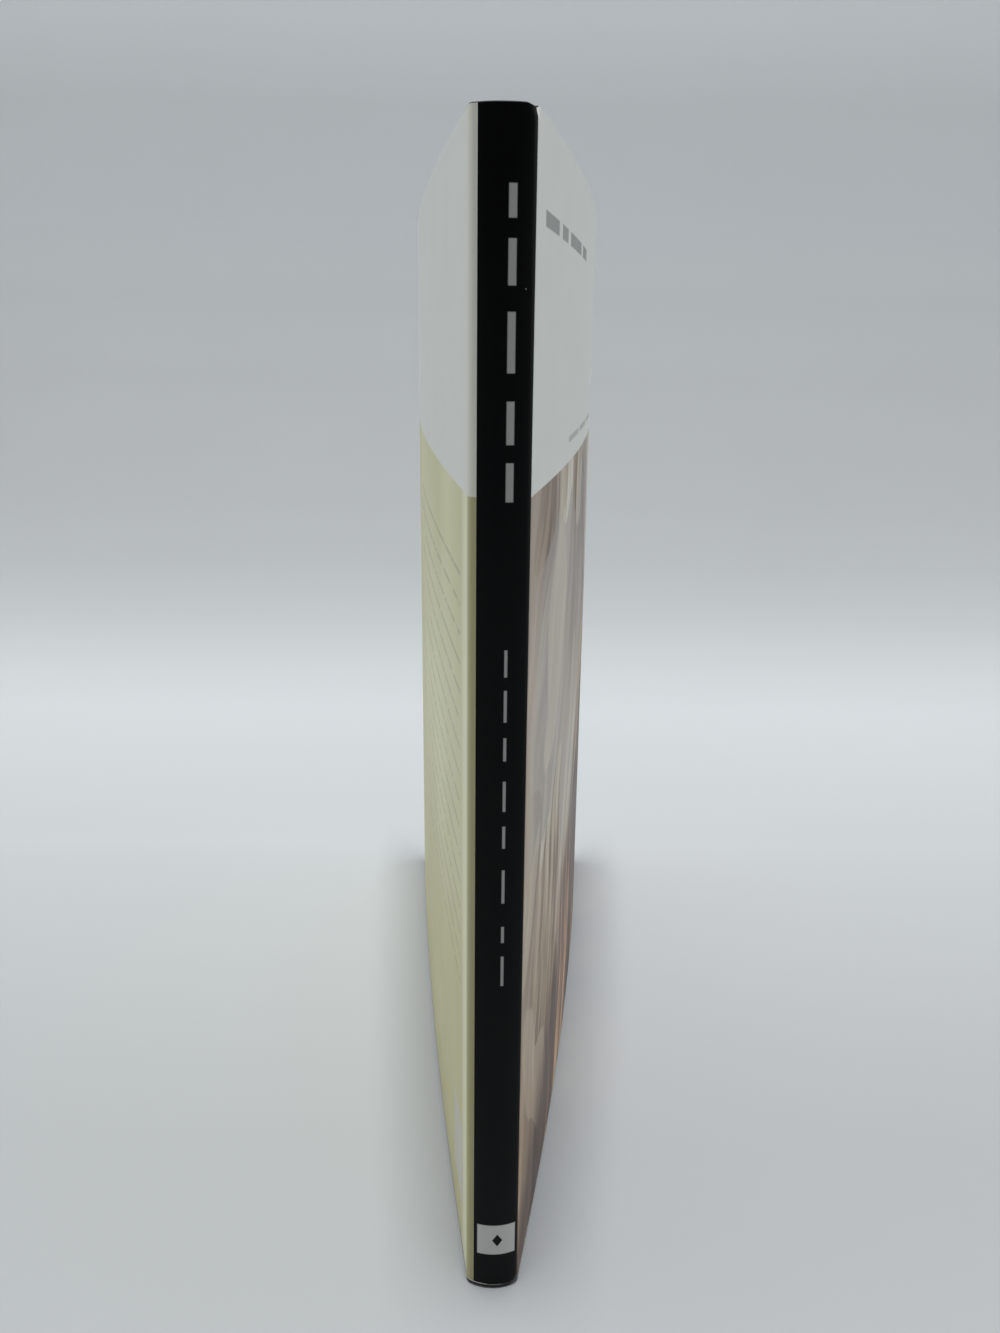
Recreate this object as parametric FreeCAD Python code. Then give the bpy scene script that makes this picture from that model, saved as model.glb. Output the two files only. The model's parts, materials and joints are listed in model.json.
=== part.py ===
"""Case-bound coffee table book in a dust jacket, standing on its tail with both covers ajar.

Frame, in millimetres: +Z is the height of the book, +Y runs from the spine to the fore-edge, and
+X is the front cover's side.  The origin is on the standing surface, under the middle of the
book's bounding box.

Every piece is made of upright prisms.  The spine is drawn in plan with the crest of its jacket at
y = 0.  A cover is drawn in a plan frame of its own, shut, with its hinge line at the origin, +X
outwards and +Y towards the fore-edge, and is then swung ajar and put on its hinge line.
"""
import FreeCAD, Part
import math
import os

# Overall sizes
HEIGHT = 230.0              # of the case, tail to head
COVER_REACH = 194.8         # hinge line to fore-edge, straight across one cover in its jacket
BLOCK_THICKNESS = 4.6       # the pages, pressed together

# Sheets and boards
BOARD_T = 2.0
SPINE_CARD_T = 0.9
CASE_PAPER_T = 0.2
JACKET_T = 0.2
ENDPAPER_T = 0.15
MULL_T = 0.2
LINING_T = 0.2

# Spine
SPINE_BULGE = 0.86          # crest of the jacket's back, forward of the front of its shoulders
SHOULDER_R = 2.0            # outside radius where the jacket turns from the back to a side
SHOULDER_SIDE = 0.55        # straight side of the jacket between its shoulder and the hinge line
HOLLOW_CLEAR = 0.3          # free space in the hollow back, behind the turned-in case paper

# Joints between spine and boards
JOINT_WIDTH = 4.4           # hinge line to board
GROOVE_FLANK_DEG = 140.0    # way the case paper leaves the shoulder, 90 being straight back
GROOVE_R = 0.8              # outside radius at the bottom of the groove
GROOVE_CLEAR = 0.5          # end of the groove to the wrapped edge of the board
FOLD_CLEAR = 0.3            # gap at a fold where one sheet passes from spine to cover

# Edges
SQUARE = 3.0                # how far the boards stand proud of the pages
PASTEDOWN_MARGIN = 3.0      # edge of the cover to edge of the pastedown
TURN_IN = 15.0              # case paper turned in over the inside of a board
FLAP_WIDTH = 88.0           # jacket flap inside a cover
MULL_FLANGE = 25.0          # mull glued on the inside of a board
JACKET_ABOVE_TAIL = 1.0     # the jacket sits this far up the case
JACKET_BELOW_HEAD = 0.2
STEP_WIDTH = 0.3            # wall of the step that a pastedown makes at the edge of a turn-in

# Bands at the head and tail of the pages
BAND_BEAD_R = 0.8
BAND_BEAD_RISE = 0.5        # centre of the bead above the edge of the pages
BAND_BEAD_SET_IN = 0.6      # centre of the bead in from the back of the pages
BAND_TONGUE = 9.0           # tongue glued down the back of the pages
BAND_CLEAR = 1.0            # tongue or turn-in to the mull

# How the covers stand
AJAR_FRONT_DEG = 7.2
AJAR_BACK_DEG = 6.7
BOW_FRONT = 3.0             # outward bow of a cover, in the middle
BOW_BACK = 2.0
FULL_OPEN_DEG = 175.0       # shut to wide open
LEAF_CLEAR = 0.25           # shut cover to flyleaf

# Layers of a cover: depth of each layer's inner face below the outside of the jacket
UNDER_JACKET = JACKET_T
UNDER_CASE = UNDER_JACKET + CASE_PAPER_T
UNDER_BOARD = UNDER_CASE + BOARD_T
UNDER_TURN_IN = UNDER_BOARD + CASE_PAPER_T
UNDER_RIM = UNDER_BOARD + max(CASE_PAPER_T, MULL_T)
UNDER_PASTEDOWN = UNDER_RIM + ENDPAPER_T
UNDER_FLAP = UNDER_PASTEDOWN + JACKET_T

# Places along a cover, from its hinge line
BOARD_START = JOINT_WIDTH
CASE_EDGE = COVER_REACH - JACKET_T
BOARD_END = CASE_EDGE - CASE_PAPER_T
TURN_IN_EDGE = BOARD_END - TURN_IN

# Plan of the spine
HALF_BLOCK = BLOCK_THICKNESS / 2
HINGE_X = HALF_BLOCK + ENDPAPER_T + LEAF_CLEAR + UNDER_FLAP
SHOULDER_X = HINGE_X - SHOULDER_R
SHOULDER_Y = SHOULDER_R + SPINE_BULGE
BACK_R = (SHOULDER_X**2 + SHOULDER_Y**2 - SHOULDER_R**2) / (2 * SPINE_BULGE)
BACK_HALF_DEG = math.degrees(math.asin(SHOULDER_X / (BACK_R - SHOULDER_R)))
HINGE_Y = SHOULDER_Y + SHOULDER_SIDE
GROOVE_X = HALF_BLOCK + 2 * ENDPAPER_T + LEAF_CLEAR + MULL_T + CASE_PAPER_T

# Layers of the spine: radius of each layer's inner face about the middle of the rounded back
CARD_OUTER_R = BACK_R - UNDER_CASE
CARD_INNER_R = CARD_OUTER_R - SPINE_CARD_T
SPINE_TURN_IN_R = CARD_INNER_R - CASE_PAPER_T
LINING_R = SPINE_TURN_IN_R - HOLLOW_CLEAR
MULL_R = LINING_R - LINING_T
PAGES_R = MULL_R - MULL_T

# Heights
PAGES_Z = (SQUARE, HEIGHT - SQUARE)
BOARD_Z = (CASE_PAPER_T, HEIGHT - CASE_PAPER_T)
JACKET_Z = (JACKET_ABOVE_TAIL, HEIGHT - JACKET_BELOW_HEAD)
MULL_END = max(TURN_IN, SQUARE + BAND_TONGUE) + BAND_CLEAR
MULL_Z = (MULL_END, HEIGHT - MULL_END)

# Depths of the pages
BACK_EDGE_Y = BACK_R - math.sqrt(PAGES_R**2 - HALF_BLOCK**2)
FORE_EDGE_Y = HINGE_Y + CASE_EDGE - SQUARE


def vector(x, y, z=0.0):
    return FreeCAD.Vector(x, y, z)


def line(start, end):
    return Part.LineSegment(start, end).toShape()


def arc(start, middle, end):
    return Part.Arc(start, middle, end).toShape()


def prism(edges, z_range):
    """Upright solid over the plan outline that the edges close."""
    low, high = z_range
    face = Part.Face(Part.Wire(Part.__sortEdges__(edges)))
    face.translate(vector(0, 0, low))
    return face.extrude(vector(0, 0, high - low))


def joined(solids):
    """One solid out of several that share faces or overlap."""
    return solids[0].multiFuse(solids[1:]).removeSplitter()


def ring_sector(centre, radii, angles, z_range):
    """Upright piece of a ring; the angles, in degrees, are turned from -Y towards +X."""
    def at(radius, angle):
        turn = math.radians(angle)
        return centre + vector(radius * math.sin(turn), -radius * math.cos(turn))
    inner, outer = radii
    first, last = angles
    middle = (first + last) / 2
    return prism([arc(at(outer, first), at(outer, middle), at(outer, last)),
                  line(at(outer, last), at(inner, last)),
                  arc(at(inner, last), at(inner, middle), at(inner, first)),
                  line(at(inner, first), at(outer, first))], z_range)


def shifted_corners(corners, shift):
    """Corners of a path moved to its left, with the radius that each bend then has."""
    ways = [(b[0] - a[0]).normalize() for a, b in zip(corners, corners[1:])]
    moved = []
    for index, (point, radius) in enumerate(corners):
        before = ways[max(index - 1, 0)]
        after = ways[min(index, len(ways) - 1)]
        left = (vector(-before.y, before.x) + vector(-after.y, after.x)).normalize()
        reach = shift / left.dot(vector(-after.y, after.x))
        turns_left = before.x * after.y - before.y * after.x > 0
        moved.append((point + left * reach, radius - shift if turns_left else radius + shift))
    return moved


def path_edges(corners):
    """Edges of a path through the corners, each inner one rounded to its radius."""
    edges = []
    start = corners[0][0]
    for (before, _), (point, radius), (after, _) in zip(corners, corners[1:], corners[2:]):
        back = (before - point).normalize()
        ahead = (after - point).normalize()
        half_gap = back.getAngle(ahead) / 2
        tangent = radius / math.tan(half_gap)
        bisector = (back + ahead).normalize()
        crown = point + bisector * (radius / math.sin(half_gap) - radius)
        if (point + back * tangent).distanceToPoint(start) > 1e-6:
            edges.append(line(start, point + back * tangent))
        edges.append(arc(point + back * tangent, crown, point + ahead * tangent))
        start = point + ahead * tangent
    edges.append(line(start, corners[-1][0]))
    return edges


def sheet(corners, thickness, z_range):
    """Upright bent sheet, its outside on the path and its thickness on the path's left."""
    inside = shifted_corners(corners, thickness)
    ends = [line(corners[0][0], inside[0][0]), line(corners[-1][0], inside[-1][0])]
    return prism(path_edges(corners) + path_edges(inside) + ends, z_range)


def both_sides(right_half, apex):
    """Corners of a path that starts on the left as the mirror image of how it ends."""
    left_half = [(vector(-point.x, point.y), radius) for point, radius in reversed(right_half)]
    return left_half + [apex] + right_half


def spine_apex(depth):
    """Corner whose rounding is the spine's back, a depth below the outside of the jacket."""
    radius = BACK_R - depth
    return vector(0, BACK_R - radius / math.cos(math.radians(BACK_HALF_DEG))), radius


def shoulder_corner(depth, leaving_deg):
    """Corner whose rounding is the front side's shoulder, for a sheet that leaves that way."""
    radius = SHOULDER_R - depth
    middle = math.radians((BACK_HALF_DEG + leaving_deg) / 2)
    reach = radius / math.cos(math.radians(leaving_deg - BACK_HALF_DEG) / 2)
    return vector(SHOULDER_X + reach * math.sin(middle), SHOULDER_Y - reach * math.cos(middle)), radius


def back_sector(inner, outer, z_range, half_width=None):
    """Piece of the rounded back, as wide as its shoulders or half_width to each side."""
    half_deg = BACK_HALF_DEG if half_width is None else math.degrees(math.asin(half_width / outer))
    return ring_sector(vector(0, BACK_R), (inner, outer), (-half_deg, half_deg), z_range)


def ends_of(z_range, length):
    """The lowest and the highest stretch of a range of heights."""
    low, high = z_range
    return (low, low + length), (high - length, high)


def make_text_block():
    back = BACK_R - PAGES_R
    hollow = BACK_EDGE_Y - back
    corners = [vector(-HALF_BLOCK, BACK_EDGE_Y), vector(HALF_BLOCK, BACK_EDGE_Y),
               vector(HALF_BLOCK, FORE_EDGE_Y), vector(-HALF_BLOCK, FORE_EDGE_Y)]
    return prism([arc(corners[0], vector(0, back), corners[1]),
                  line(corners[1], corners[2]),
                  arc(corners[2], vector(0, FORE_EDGE_Y - hollow), corners[3]),
                  line(corners[3], corners[0])], PAGES_Z)


def make_flyleaf(side):
    """Free leaf of an endpaper, flat on the pages; side is 1 at the front and -1 at the back."""
    near, far = side * HALF_BLOCK, side * (HALF_BLOCK + ENDPAPER_T)
    corners = [vector(near, BACK_EDGE_Y), vector(far, BACK_EDGE_Y),
               vector(far, FORE_EDGE_Y), vector(near, FORE_EDGE_Y)]
    return prism([line(a, b) for a, b in zip(corners, corners[1:] + corners[:1])], PAGES_Z)


def make_band(at_head):
    """Headband or tailband: a bead on the edge of the pages and a tongue down their back."""
    edge = PAGES_Z[1] if at_head else PAGES_Z[0]
    outwards = 1 if at_head else -1
    bead_z = edge + outwards * BAND_BEAD_RISE
    bead = Part.makeCylinder(BAND_BEAD_R, BLOCK_THICKNESS,
                             vector(-HALF_BLOCK, BACK_R - PAGES_R + BAND_BEAD_SET_IN, bead_z),
                             vector(1, 0, 0))
    tongue = back_sector(PAGES_R, MULL_R, sorted((edge - outwards * BAND_TONGUE, bead_z)), HALF_BLOCK)
    return joined([bead.cut(make_text_block()), tongue])


def make_case_spine():
    """Case paper from groove to groove, turned in over the head and tail of the spine card."""
    depth = UNDER_JACKET
    shoulder, shoulder_r = shoulder_corner(depth, GROOVE_FLANK_DEG)
    drop = (GROOVE_X - shoulder.x) / math.cos(math.radians(GROOVE_FLANK_DEG))
    groove_y = shoulder.y + drop * math.sin(math.radians(GROOVE_FLANK_DEG))
    groove_end = HINGE_Y + BOARD_START - CASE_PAPER_T - GROOVE_CLEAR
    right_half = [(shoulder, shoulder_r), (vector(GROOVE_X, groove_y), GROOVE_R),
                  (vector(GROOVE_X, groove_end), 0)]
    pieces = [sheet(both_sides(right_half, spine_apex(depth)), CASE_PAPER_T, (0, HEIGHT))]
    for fold, lap in zip(ends_of((0, HEIGHT), CASE_PAPER_T), ends_of((0, HEIGHT), TURN_IN)):
        pieces.append(back_sector(SPINE_TURN_IN_R, CARD_OUTER_R, fold))
        pieces.append(back_sector(SPINE_TURN_IN_R, CARD_INNER_R, lap))
    return joined(pieces)


def make_jacket_spine():
    right_half = [shoulder_corner(0, 90), (vector(HINGE_X, HINGE_Y - FOLD_CLEAR / 2), 0)]
    return sheet(both_sides(right_half, spine_apex(0)), JACKET_T, JACKET_Z)


class CoverPlan:
    """Plan of one shut cover: layers that follow the bow, numbered by depth below the jacket."""

    def __init__(self, bow):
        self.radius = (COVER_REACH**2 / 4 + bow**2) / (2 * bow)
        self.centre = vector(bow - self.radius, COVER_REACH / 2)

    def layer(self, outer_depth, inner_depth, start, end, z_range):
        """Prism between two depths, from start to end along the cover."""
        def turn(along):
            return 90 + math.degrees(math.asin((along - COVER_REACH / 2) / self.radius))
        radii = (self.radius - inner_depth, self.radius - outer_depth)
        return ring_sector(self.centre, radii, (turn(start), turn(end)), z_range)


def make_board(plan):
    return plan.layer(UNDER_CASE, UNDER_BOARD, BOARD_START, BOARD_END, BOARD_Z)


def make_case_side(plan):
    """Case paper over one board, round its four edges and turned in at three of them."""
    wrap = plan.layer(UNDER_JACKET, UNDER_TURN_IN, BOARD_START - CASE_PAPER_T, CASE_EDGE, (0, HEIGHT))
    bare = plan.layer(UNDER_BOARD, UNDER_FLAP, 0, TURN_IN_EDGE, (TURN_IN, HEIGHT - TURN_IN))
    return wrap.cut(make_board(plan)).cut(bare)


def make_mull_flange(plan):
    return plan.layer(UNDER_BOARD, UNDER_BOARD + MULL_T, BOARD_START, BOARD_START + MULL_FLANGE, MULL_Z)


def make_pastedown(plan):
    """Leaf pasted over turn-ins and mull at its rim, and down on the bare board within them."""
    start, end = BOARD_START, CASE_EDGE - PASTEDOWN_MARGIN
    leaf_z = (PASTEDOWN_MARGIN, HEIGHT - PASTEDOWN_MARGIN)
    well = (BOARD_START + MULL_FLANGE, TURN_IN_EDGE)
    well_z = (TURN_IN, HEIGHT - TURN_IN)
    floor = (well[0] + STEP_WIDTH, well[1] - STEP_WIDTH)
    floor_z = (well_z[0] + STEP_WIDTH, well_z[1] - STEP_WIDTH)
    rim = plan.layer(UNDER_RIM, UNDER_PASTEDOWN, start, end, leaf_z)
    plug = plan.layer(UNDER_BOARD, UNDER_RIM, *well, well_z)
    hollow = plan.layer(UNDER_BOARD + ENDPAPER_T, UNDER_FLAP, *floor, floor_z)
    return joined([rim, plug]).cut(hollow)


def make_jacket_side(plan):
    """Jacket over one cover, folded round the fore-edge into a flap."""
    return joined([
        plan.layer(0, UNDER_JACKET, FOLD_CLEAR / 2, COVER_REACH, JACKET_Z),
        plan.layer(0, UNDER_FLAP, CASE_EDGE, COVER_REACH, JACKET_Z),
        plan.layer(UNDER_PASTEDOWN, UNDER_FLAP, COVER_REACH - FLAP_WIDTH, COVER_REACH, JACKET_Z)])


def make_root():
    """Pages and spine, which the covers swing on."""
    return {
        "text_block": make_text_block(),
        "front_flyleaf": make_flyleaf(1),
        "back_flyleaf": make_flyleaf(-1),
        "mull_spine": back_sector(PAGES_R, MULL_R, MULL_Z, HALF_BLOCK),
        "headband": make_band(at_head=True),
        "tailband": make_band(at_head=False),
        "spine_lining": back_sector(MULL_R, LINING_R, PAGES_Z, HALF_BLOCK),
        "spine_card": back_sector(CARD_INNER_R, CARD_OUTER_R, BOARD_Z),
        "case_spine": make_case_spine(),
        "jacket_spine": make_jacket_spine(),
    }


def make_cover(name, bow, ajar_deg, side):
    """Pieces of one cover, ajar on its hinge line; side is 1 at the front and -1 at the back."""
    plan = CoverPlan(bow)
    pieces = {
        name + "_board": make_board(plan),
        "case_" + name: make_case_side(plan),
        "mull_" + name: make_mull_flange(plan),
        name + "_pastedown": make_pastedown(plan),
        "jacket_" + name: make_jacket_side(plan),
    }
    for node, solid in pieces.items():
        if side < 0:
            solid = solid.mirror(vector(0, 0), vector(1, 0))
        solid.rotate(vector(0, 0), vector(0, 0, 1), -side * ajar_deg)
        solid.translate(vector(side * HINGE_X, HINGE_Y))
        pieces[node] = solid
    return pieces


def main():
    nodes = make_root()
    nodes.update(make_cover("front", BOW_FRONT, AJAR_FRONT_DEG, 1))
    nodes.update(make_cover("back", BOW_BACK, AJAR_BACK_DEG, -1))

    box = Part.Compound(list(nodes.values())).optimalBoundingBox(False)
    to_origin = vector(-box.Center.x, -box.Center.y, -box.ZMin)
    os.makedirs("parts", exist_ok=True)
    for node, solid in nodes.items():
        solid.translate(to_origin)
        solid.exportStep(os.path.join("parts", node + ".step"))
        print(f"{node}: {len(solid.Solids)} solid, {solid.Volume / 1000:.2f} cm3, valid {solid.isValid()}")
    print(f"size {box.XLength:.2f} x {box.YLength:.2f} x {box.ZLength:.2f}")
    for name, side, ajar in (("front", 1, AJAR_FRONT_DEG), ("back", -1, AJAR_BACK_DEG)):
        print(f"{name} hinge at x {side * HINGE_X + to_origin.x:.4f}, y {HINGE_Y + to_origin.y:.4f}, "
              f"range {-ajar:.1f} to {FULL_OPEN_DEG - ajar:.1f} degrees")


main()
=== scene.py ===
"""Coffee table book in a dust jacket, standing on its tail with both covers ajar.

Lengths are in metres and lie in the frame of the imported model.  +Z is the height of the book, +Y
runs from the spine to the fore-edge, and +X is the front cover's side.  Every sheet is swept as a
binder would fold it: a column of points travels along the plan of the sheet, and the outside of
the sheet is on the left of its travel.  A depth is measured inwards from the outside of the
jacket, and an angle on the spine from the middle of its front.
"""
import json
import logging
import math
from dataclasses import dataclass
from enum import Enum
from functools import cache
from typing import Callable, Iterable, Sequence

import bpy
from mathutils import Matrix, Vector


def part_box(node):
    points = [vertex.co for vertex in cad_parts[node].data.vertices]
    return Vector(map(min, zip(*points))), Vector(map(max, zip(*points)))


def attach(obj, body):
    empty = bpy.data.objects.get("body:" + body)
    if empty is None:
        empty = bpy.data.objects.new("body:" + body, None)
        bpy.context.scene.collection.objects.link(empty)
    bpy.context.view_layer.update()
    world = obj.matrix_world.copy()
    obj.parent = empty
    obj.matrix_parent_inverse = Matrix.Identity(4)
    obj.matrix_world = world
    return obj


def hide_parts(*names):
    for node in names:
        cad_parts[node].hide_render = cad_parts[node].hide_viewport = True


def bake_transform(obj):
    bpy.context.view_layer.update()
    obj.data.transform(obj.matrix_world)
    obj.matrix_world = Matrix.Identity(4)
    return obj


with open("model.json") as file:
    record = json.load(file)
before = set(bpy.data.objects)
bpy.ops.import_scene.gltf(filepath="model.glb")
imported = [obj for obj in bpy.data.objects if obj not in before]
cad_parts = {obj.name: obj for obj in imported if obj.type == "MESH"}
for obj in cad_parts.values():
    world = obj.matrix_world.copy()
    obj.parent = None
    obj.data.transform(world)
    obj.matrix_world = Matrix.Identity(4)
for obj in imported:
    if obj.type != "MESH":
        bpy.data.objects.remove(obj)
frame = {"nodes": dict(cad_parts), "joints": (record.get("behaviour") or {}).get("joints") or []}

LOG = logging.getLogger("book")
MM = 0.001
LEVEL = 1e-6  # heights nearer to each other than this are the same
WELD = 5e-6  # points nearer to each other than this are merged
FACING = 0.9  # cosine of the widest angle at which a face still counts as facing a way
MIDDLE = (0.3, 0.7)  # the range that holds most values of a noise
BROAD = (0.2, 0.8)  # the range that holds nearly all of them
ROOT = "pages_and_spine"
Colour = tuple[float, float, float]


def srgb(red: float, green: float, blue: float) -> Colour:
    """Turns a colour written in display values of 0 to 255 into linear light.

    Args:
        red: Red, 0 to 255.
        green: Green, 0 to 255.
        blue: Blue, 0 to 255.

    Returns:
        The linear colour.
    """
    return tuple(
        c / 12.92 if c <= 0.04045 else ((c + 0.055) / 1.055) ** 2.4
        for c in (red / 255, green / 255, blue / 255)
    )


def grey(level: float) -> Colour:
    """The grey of a level of light."""
    return (level,) * 3


def dimmed(colour: Colour, share: float) -> Colour:
    """The colour with only a share of its light."""
    return tuple(c * share for c in colour)


def flat(point: Sequence[float]) -> Vector:
    """The point put down at the level of the floor."""
    return Vector((point[0], point[1], 0))


def ends(node: str) -> tuple[float, float]:
    """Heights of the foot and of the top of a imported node."""
    return tuple(corner.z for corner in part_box(node))


class End(Enum):
    """The two ends of the book's height, with the sense in which each faces."""

    TAIL = -1
    HEAD = 1


class Side(Enum):
    """The two covers of the book, with the sign of X on which each lies."""

    FRONT = 1
    BACK = -1

    @property
    def word(self) -> str:
        """Name of the side as the pieces carry it."""
        return self.name.lower()

    @property
    def body(self) -> str:
        """Name of the moving body that this cover is."""
        return f"{self.word}_cover"

    @property
    def hinge(self) -> dict:
        """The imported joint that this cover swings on."""
        return next(j for j in frame["joints"] if j["child"] == self.body)

    @property
    def pin(self) -> Vector:
        """Foot of the hinge line."""
        return flat(self.hinge["pos_m"])


# ---- Sizes -------------------------------------------------------


@dataclass(frozen=True)
class Layers:
    """Thicknesses of the sheets, the width of the turn-ins, and the depths of the faces."""

    jacket: float = 0.2 * MM
    case_paper: float = 0.2 * MM
    board: float = 2.0 * MM
    spine_card: float = 0.9 * MM
    endpaper: float = 0.15 * MM
    turn_in: float = 15.0 * MM

    @property
    def under_case(self) -> float:
        """Depth of the outer face of the board."""
        return self.jacket + self.case_paper

    @property
    def under_board(self) -> float:
        """Depth of the inner face of the board."""
        return self.under_case + self.board

    @property
    def under_turn_in(self) -> float:
        """Depth of the face of the turned-in case paper."""
        return self.under_board + self.case_paper

    @property
    def under_flap(self) -> float:
        """Depth of the face of the jacket flap, which lies on the pastedown."""
        return self.under_turn_in + self.endpaper + self.jacket


LAYERS = Layers()


@dataclass(frozen=True)
class SoftCorner:
    """A pressed place in paper: what is near it is pushed by a shift that fades with distance."""

    place: Vector
    shift: Vector
    radius: float


@dataclass(frozen=True)
class SpinePlan:
    """Plan of the rounded spine, placed between the two hinge lines.

    Attributes:
        bulge: Crest of the back, forward of the front of its shoulders.
        shoulder_r: Outside radius where the jacket turns from the back to a side.
        shoulder_side: Straight side of the jacket between its shoulder and the hinge line.
        dent_angle: Angle on the front shoulder at which its corners are soft.
        head_dent: Shift and radius of the soft corner at the head, in millimetres.
        tail_dent: The same at the tail.
    """

    bulge: float = 0.86 * MM
    shoulder_r: float = 2.0 * MM
    shoulder_side: float = 0.55 * MM
    dent_angle: float = math.radians(58)
    head_dent: tuple = ((-0.32, 0.10, -0.42), 2.2)
    tail_dent: tuple = ((-0.38, 0.12, 0.40), 2.3)

    @property
    def middle_x(self) -> float:
        """X of the middle of the spine."""
        return (Side.FRONT.pin.x + Side.BACK.pin.x) / 2

    @property
    def shoulder_x(self) -> float:
        """Distance of a shoulder's centre from the middle of the spine."""
        return (Side.FRONT.pin.x - Side.BACK.pin.x) / 2 - self.shoulder_r

    @property
    def shoulder_y(self) -> float:
        """Y of the shoulders' centres."""
        return Side.FRONT.pin.y - self.shoulder_side

    @property
    def crest_y(self) -> float:
        """Y of the crest of the jacket's back."""
        return self.shoulder_y - self.shoulder_r - self.bulge

    @property
    def back_r(self) -> float:
        """Radius of the jacket's rounded back."""
        rise = self.shoulder_r + self.bulge
        return (self.shoulder_x**2 + rise**2 - self.shoulder_r**2) / (2 * self.bulge)

    @property
    def back_half(self) -> float:
        """Half angle of the rounded back."""
        return math.asin(self.shoulder_x / (self.back_r - self.shoulder_r))

    @property
    def back_centre(self) -> Vector:
        """Centre of the rounded back."""
        return Vector((self.middle_x, self.crest_y + self.back_r, 0))

    def shoulder_centre(self, side: Side) -> Vector:
        """Centre of one shoulder."""
        return Vector((self.middle_x + side.value * self.shoulder_x, self.shoulder_y, 0))

    def on_back(self, depth: float, angle: float) -> Vector:
        """Point of a layer of the rounded back, with the angle towards the front cover."""
        reach = self.back_r - depth
        return self.back_centre + Vector((reach * math.sin(angle), -reach * math.cos(angle), 0))

    def on_shoulder(self, side: Side, depth: float, angle: float) -> Vector:
        """Point of a layer of a shoulder."""
        way = Vector((side.value * math.sin(angle), -math.cos(angle), 0))
        return self.shoulder_centre(side) + way * (self.shoulder_r - depth)

    def at(self, side: Side, x: float, y: float) -> Vector:
        """Point at a distance from the middle of the spine and from its crest."""
        return Vector((self.middle_x + side.value * x, self.crest_y + y, 0))

    @property
    def soft_corners(self) -> list[SoftCorner]:
        """Soft corners of the front shoulder.

        Returns:
            The corner at the head and the one at the tail.
        """
        place = self.on_shoulder(Side.FRONT, 0.0, self.dent_angle)
        tail, head = ends("case_spine")
        return [
            SoftCorner(place + Vector((0, 0, z)), Vector(shift) * MM, radius * MM)
            for z, (shift, radius) in ((head, self.head_dent), (tail, self.tail_dent))
        ]


@dataclass(frozen=True)
class CoverPlan:
    """Plan of one bowed cover, ajar on its hinge line.

    Attributes:
        side: The cover.
        bow: Outward bow in the middle of the cover.
        reach: Hinge line to fore-edge, straight across.
        joint: Hinge line to board.
    """

    side: Side
    bow: float
    reach: float = 194.8 * MM
    joint: float = 4.4 * MM

    @property
    def radius(self) -> float:
        """Radius of the outside of the bowed jacket."""
        return (self.reach**2 / 4 + self.bow**2) / (2 * self.bow)

    @property
    def centre(self) -> Vector:
        """Centre of the bow."""
        return self.placed(self.bow - self.radius, self.reach / 2)

    @property
    def facing(self) -> Vector:
        """Direction out of the middle of the cover."""
        return (self.point(0, self.reach / 2) - self.centre).normalized()

    def placed(self, out: float, along: float) -> Vector:
        """Point of the shut cover, swung ajar and put on its hinge line.

        Args:
            out: Distance outwards from the hinge line, negative towards the pages.
            along: Distance from the hinge line towards the fore-edge.

        Returns:
            The point, at the level of the floor.
        """
        ajar = math.radians(-self.side.hinge["range_deg"][0])
        cos, sin = math.cos(ajar), math.sin(ajar)
        x, y = out * cos + along * sin, along * cos - out * sin
        return self.side.pin + Vector((self.side.value * x, y, 0))

    def point(self, depth: float, along: float) -> Vector:
        """Point of a layer of the cover.

        Args:
            depth: Depth of the layer.
            along: Distance of the place from the hinge line, on the outside of the jacket.

        Returns:
            The point, at the level of the floor.
        """
        angle = math.asin((along - self.reach / 2) / self.radius)
        reach = self.radius - depth
        return self.placed(
            self.bow - self.radius + reach * math.cos(angle),
            self.reach / 2 + reach * math.sin(angle),
        )


def margins(low: float, high: float, steps: Iterable[float]) -> list[float]:
    """Heights at given distances inside a foot and a top."""
    return [low + step for step in steps] + [high - step for step in steps]


def rows(low: float, high: float, count: int, extra: Sequence[float] = ()) -> list[float]:
    """Heights of the points of a column.

    Args:
        low: Foot of the column.
        high: Top of the column.
        count: Number of equal steps.
        extra: More heights that need a point, in place of even ones close by.

    Returns:
        The heights in rising order.
    """
    close = 0.8 * MM
    steps = [low + (high - low) * i / count for i in range(count + 1)]
    kept = [z for z in steps if all(abs(z - other) > close for other in extra)]
    return sorted({round(z, 7) for z in [*kept, *extra, low, high]})


# ---- Modelling ---------------------------------------------------


class Part(Enum):
    """The parts of a mesh that are selected."""

    VERT = "vertices"
    EDGE = "edges"
    FACE = "polygons"

    def seen(self, mesh: bpy.types.Mesh, item: bpy.types.bpy_struct) -> Sequence[Vector]:
        """What a test is told of a part.

        Args:
            mesh: The mesh.
            item: The vertex, edge or face.

        Returns:
            A vertex's place, the places of both ends of an edge, or a face's middle and normal.
        """
        if self is Part.VERT:
            return [item.co]
        if self is Part.EDGE:
            return [mesh.vertices[i].co for i in item.vertices]
        return [item.center, item.normal]


def deselect() -> None:
    """Leaves nothing selected, in object mode."""
    if bpy.context.object and bpy.context.object.mode != "OBJECT":
        bpy.ops.object.mode_set(mode="OBJECT")
    bpy.ops.object.select_all(action="DESELECT")


def extrude(shift: Sequence[float]) -> None:
    """Extrudes what is selected and moves it."""
    bpy.ops.mesh.extrude_region_move(TRANSFORM_OT_translate={"value": shift})


def at_height(height: float) -> Callable[..., bool]:
    """Test of whether all the points it is given lie at a height."""
    return lambda *points: all(abs(point.z - height) < LEVEL for point in points)


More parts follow.
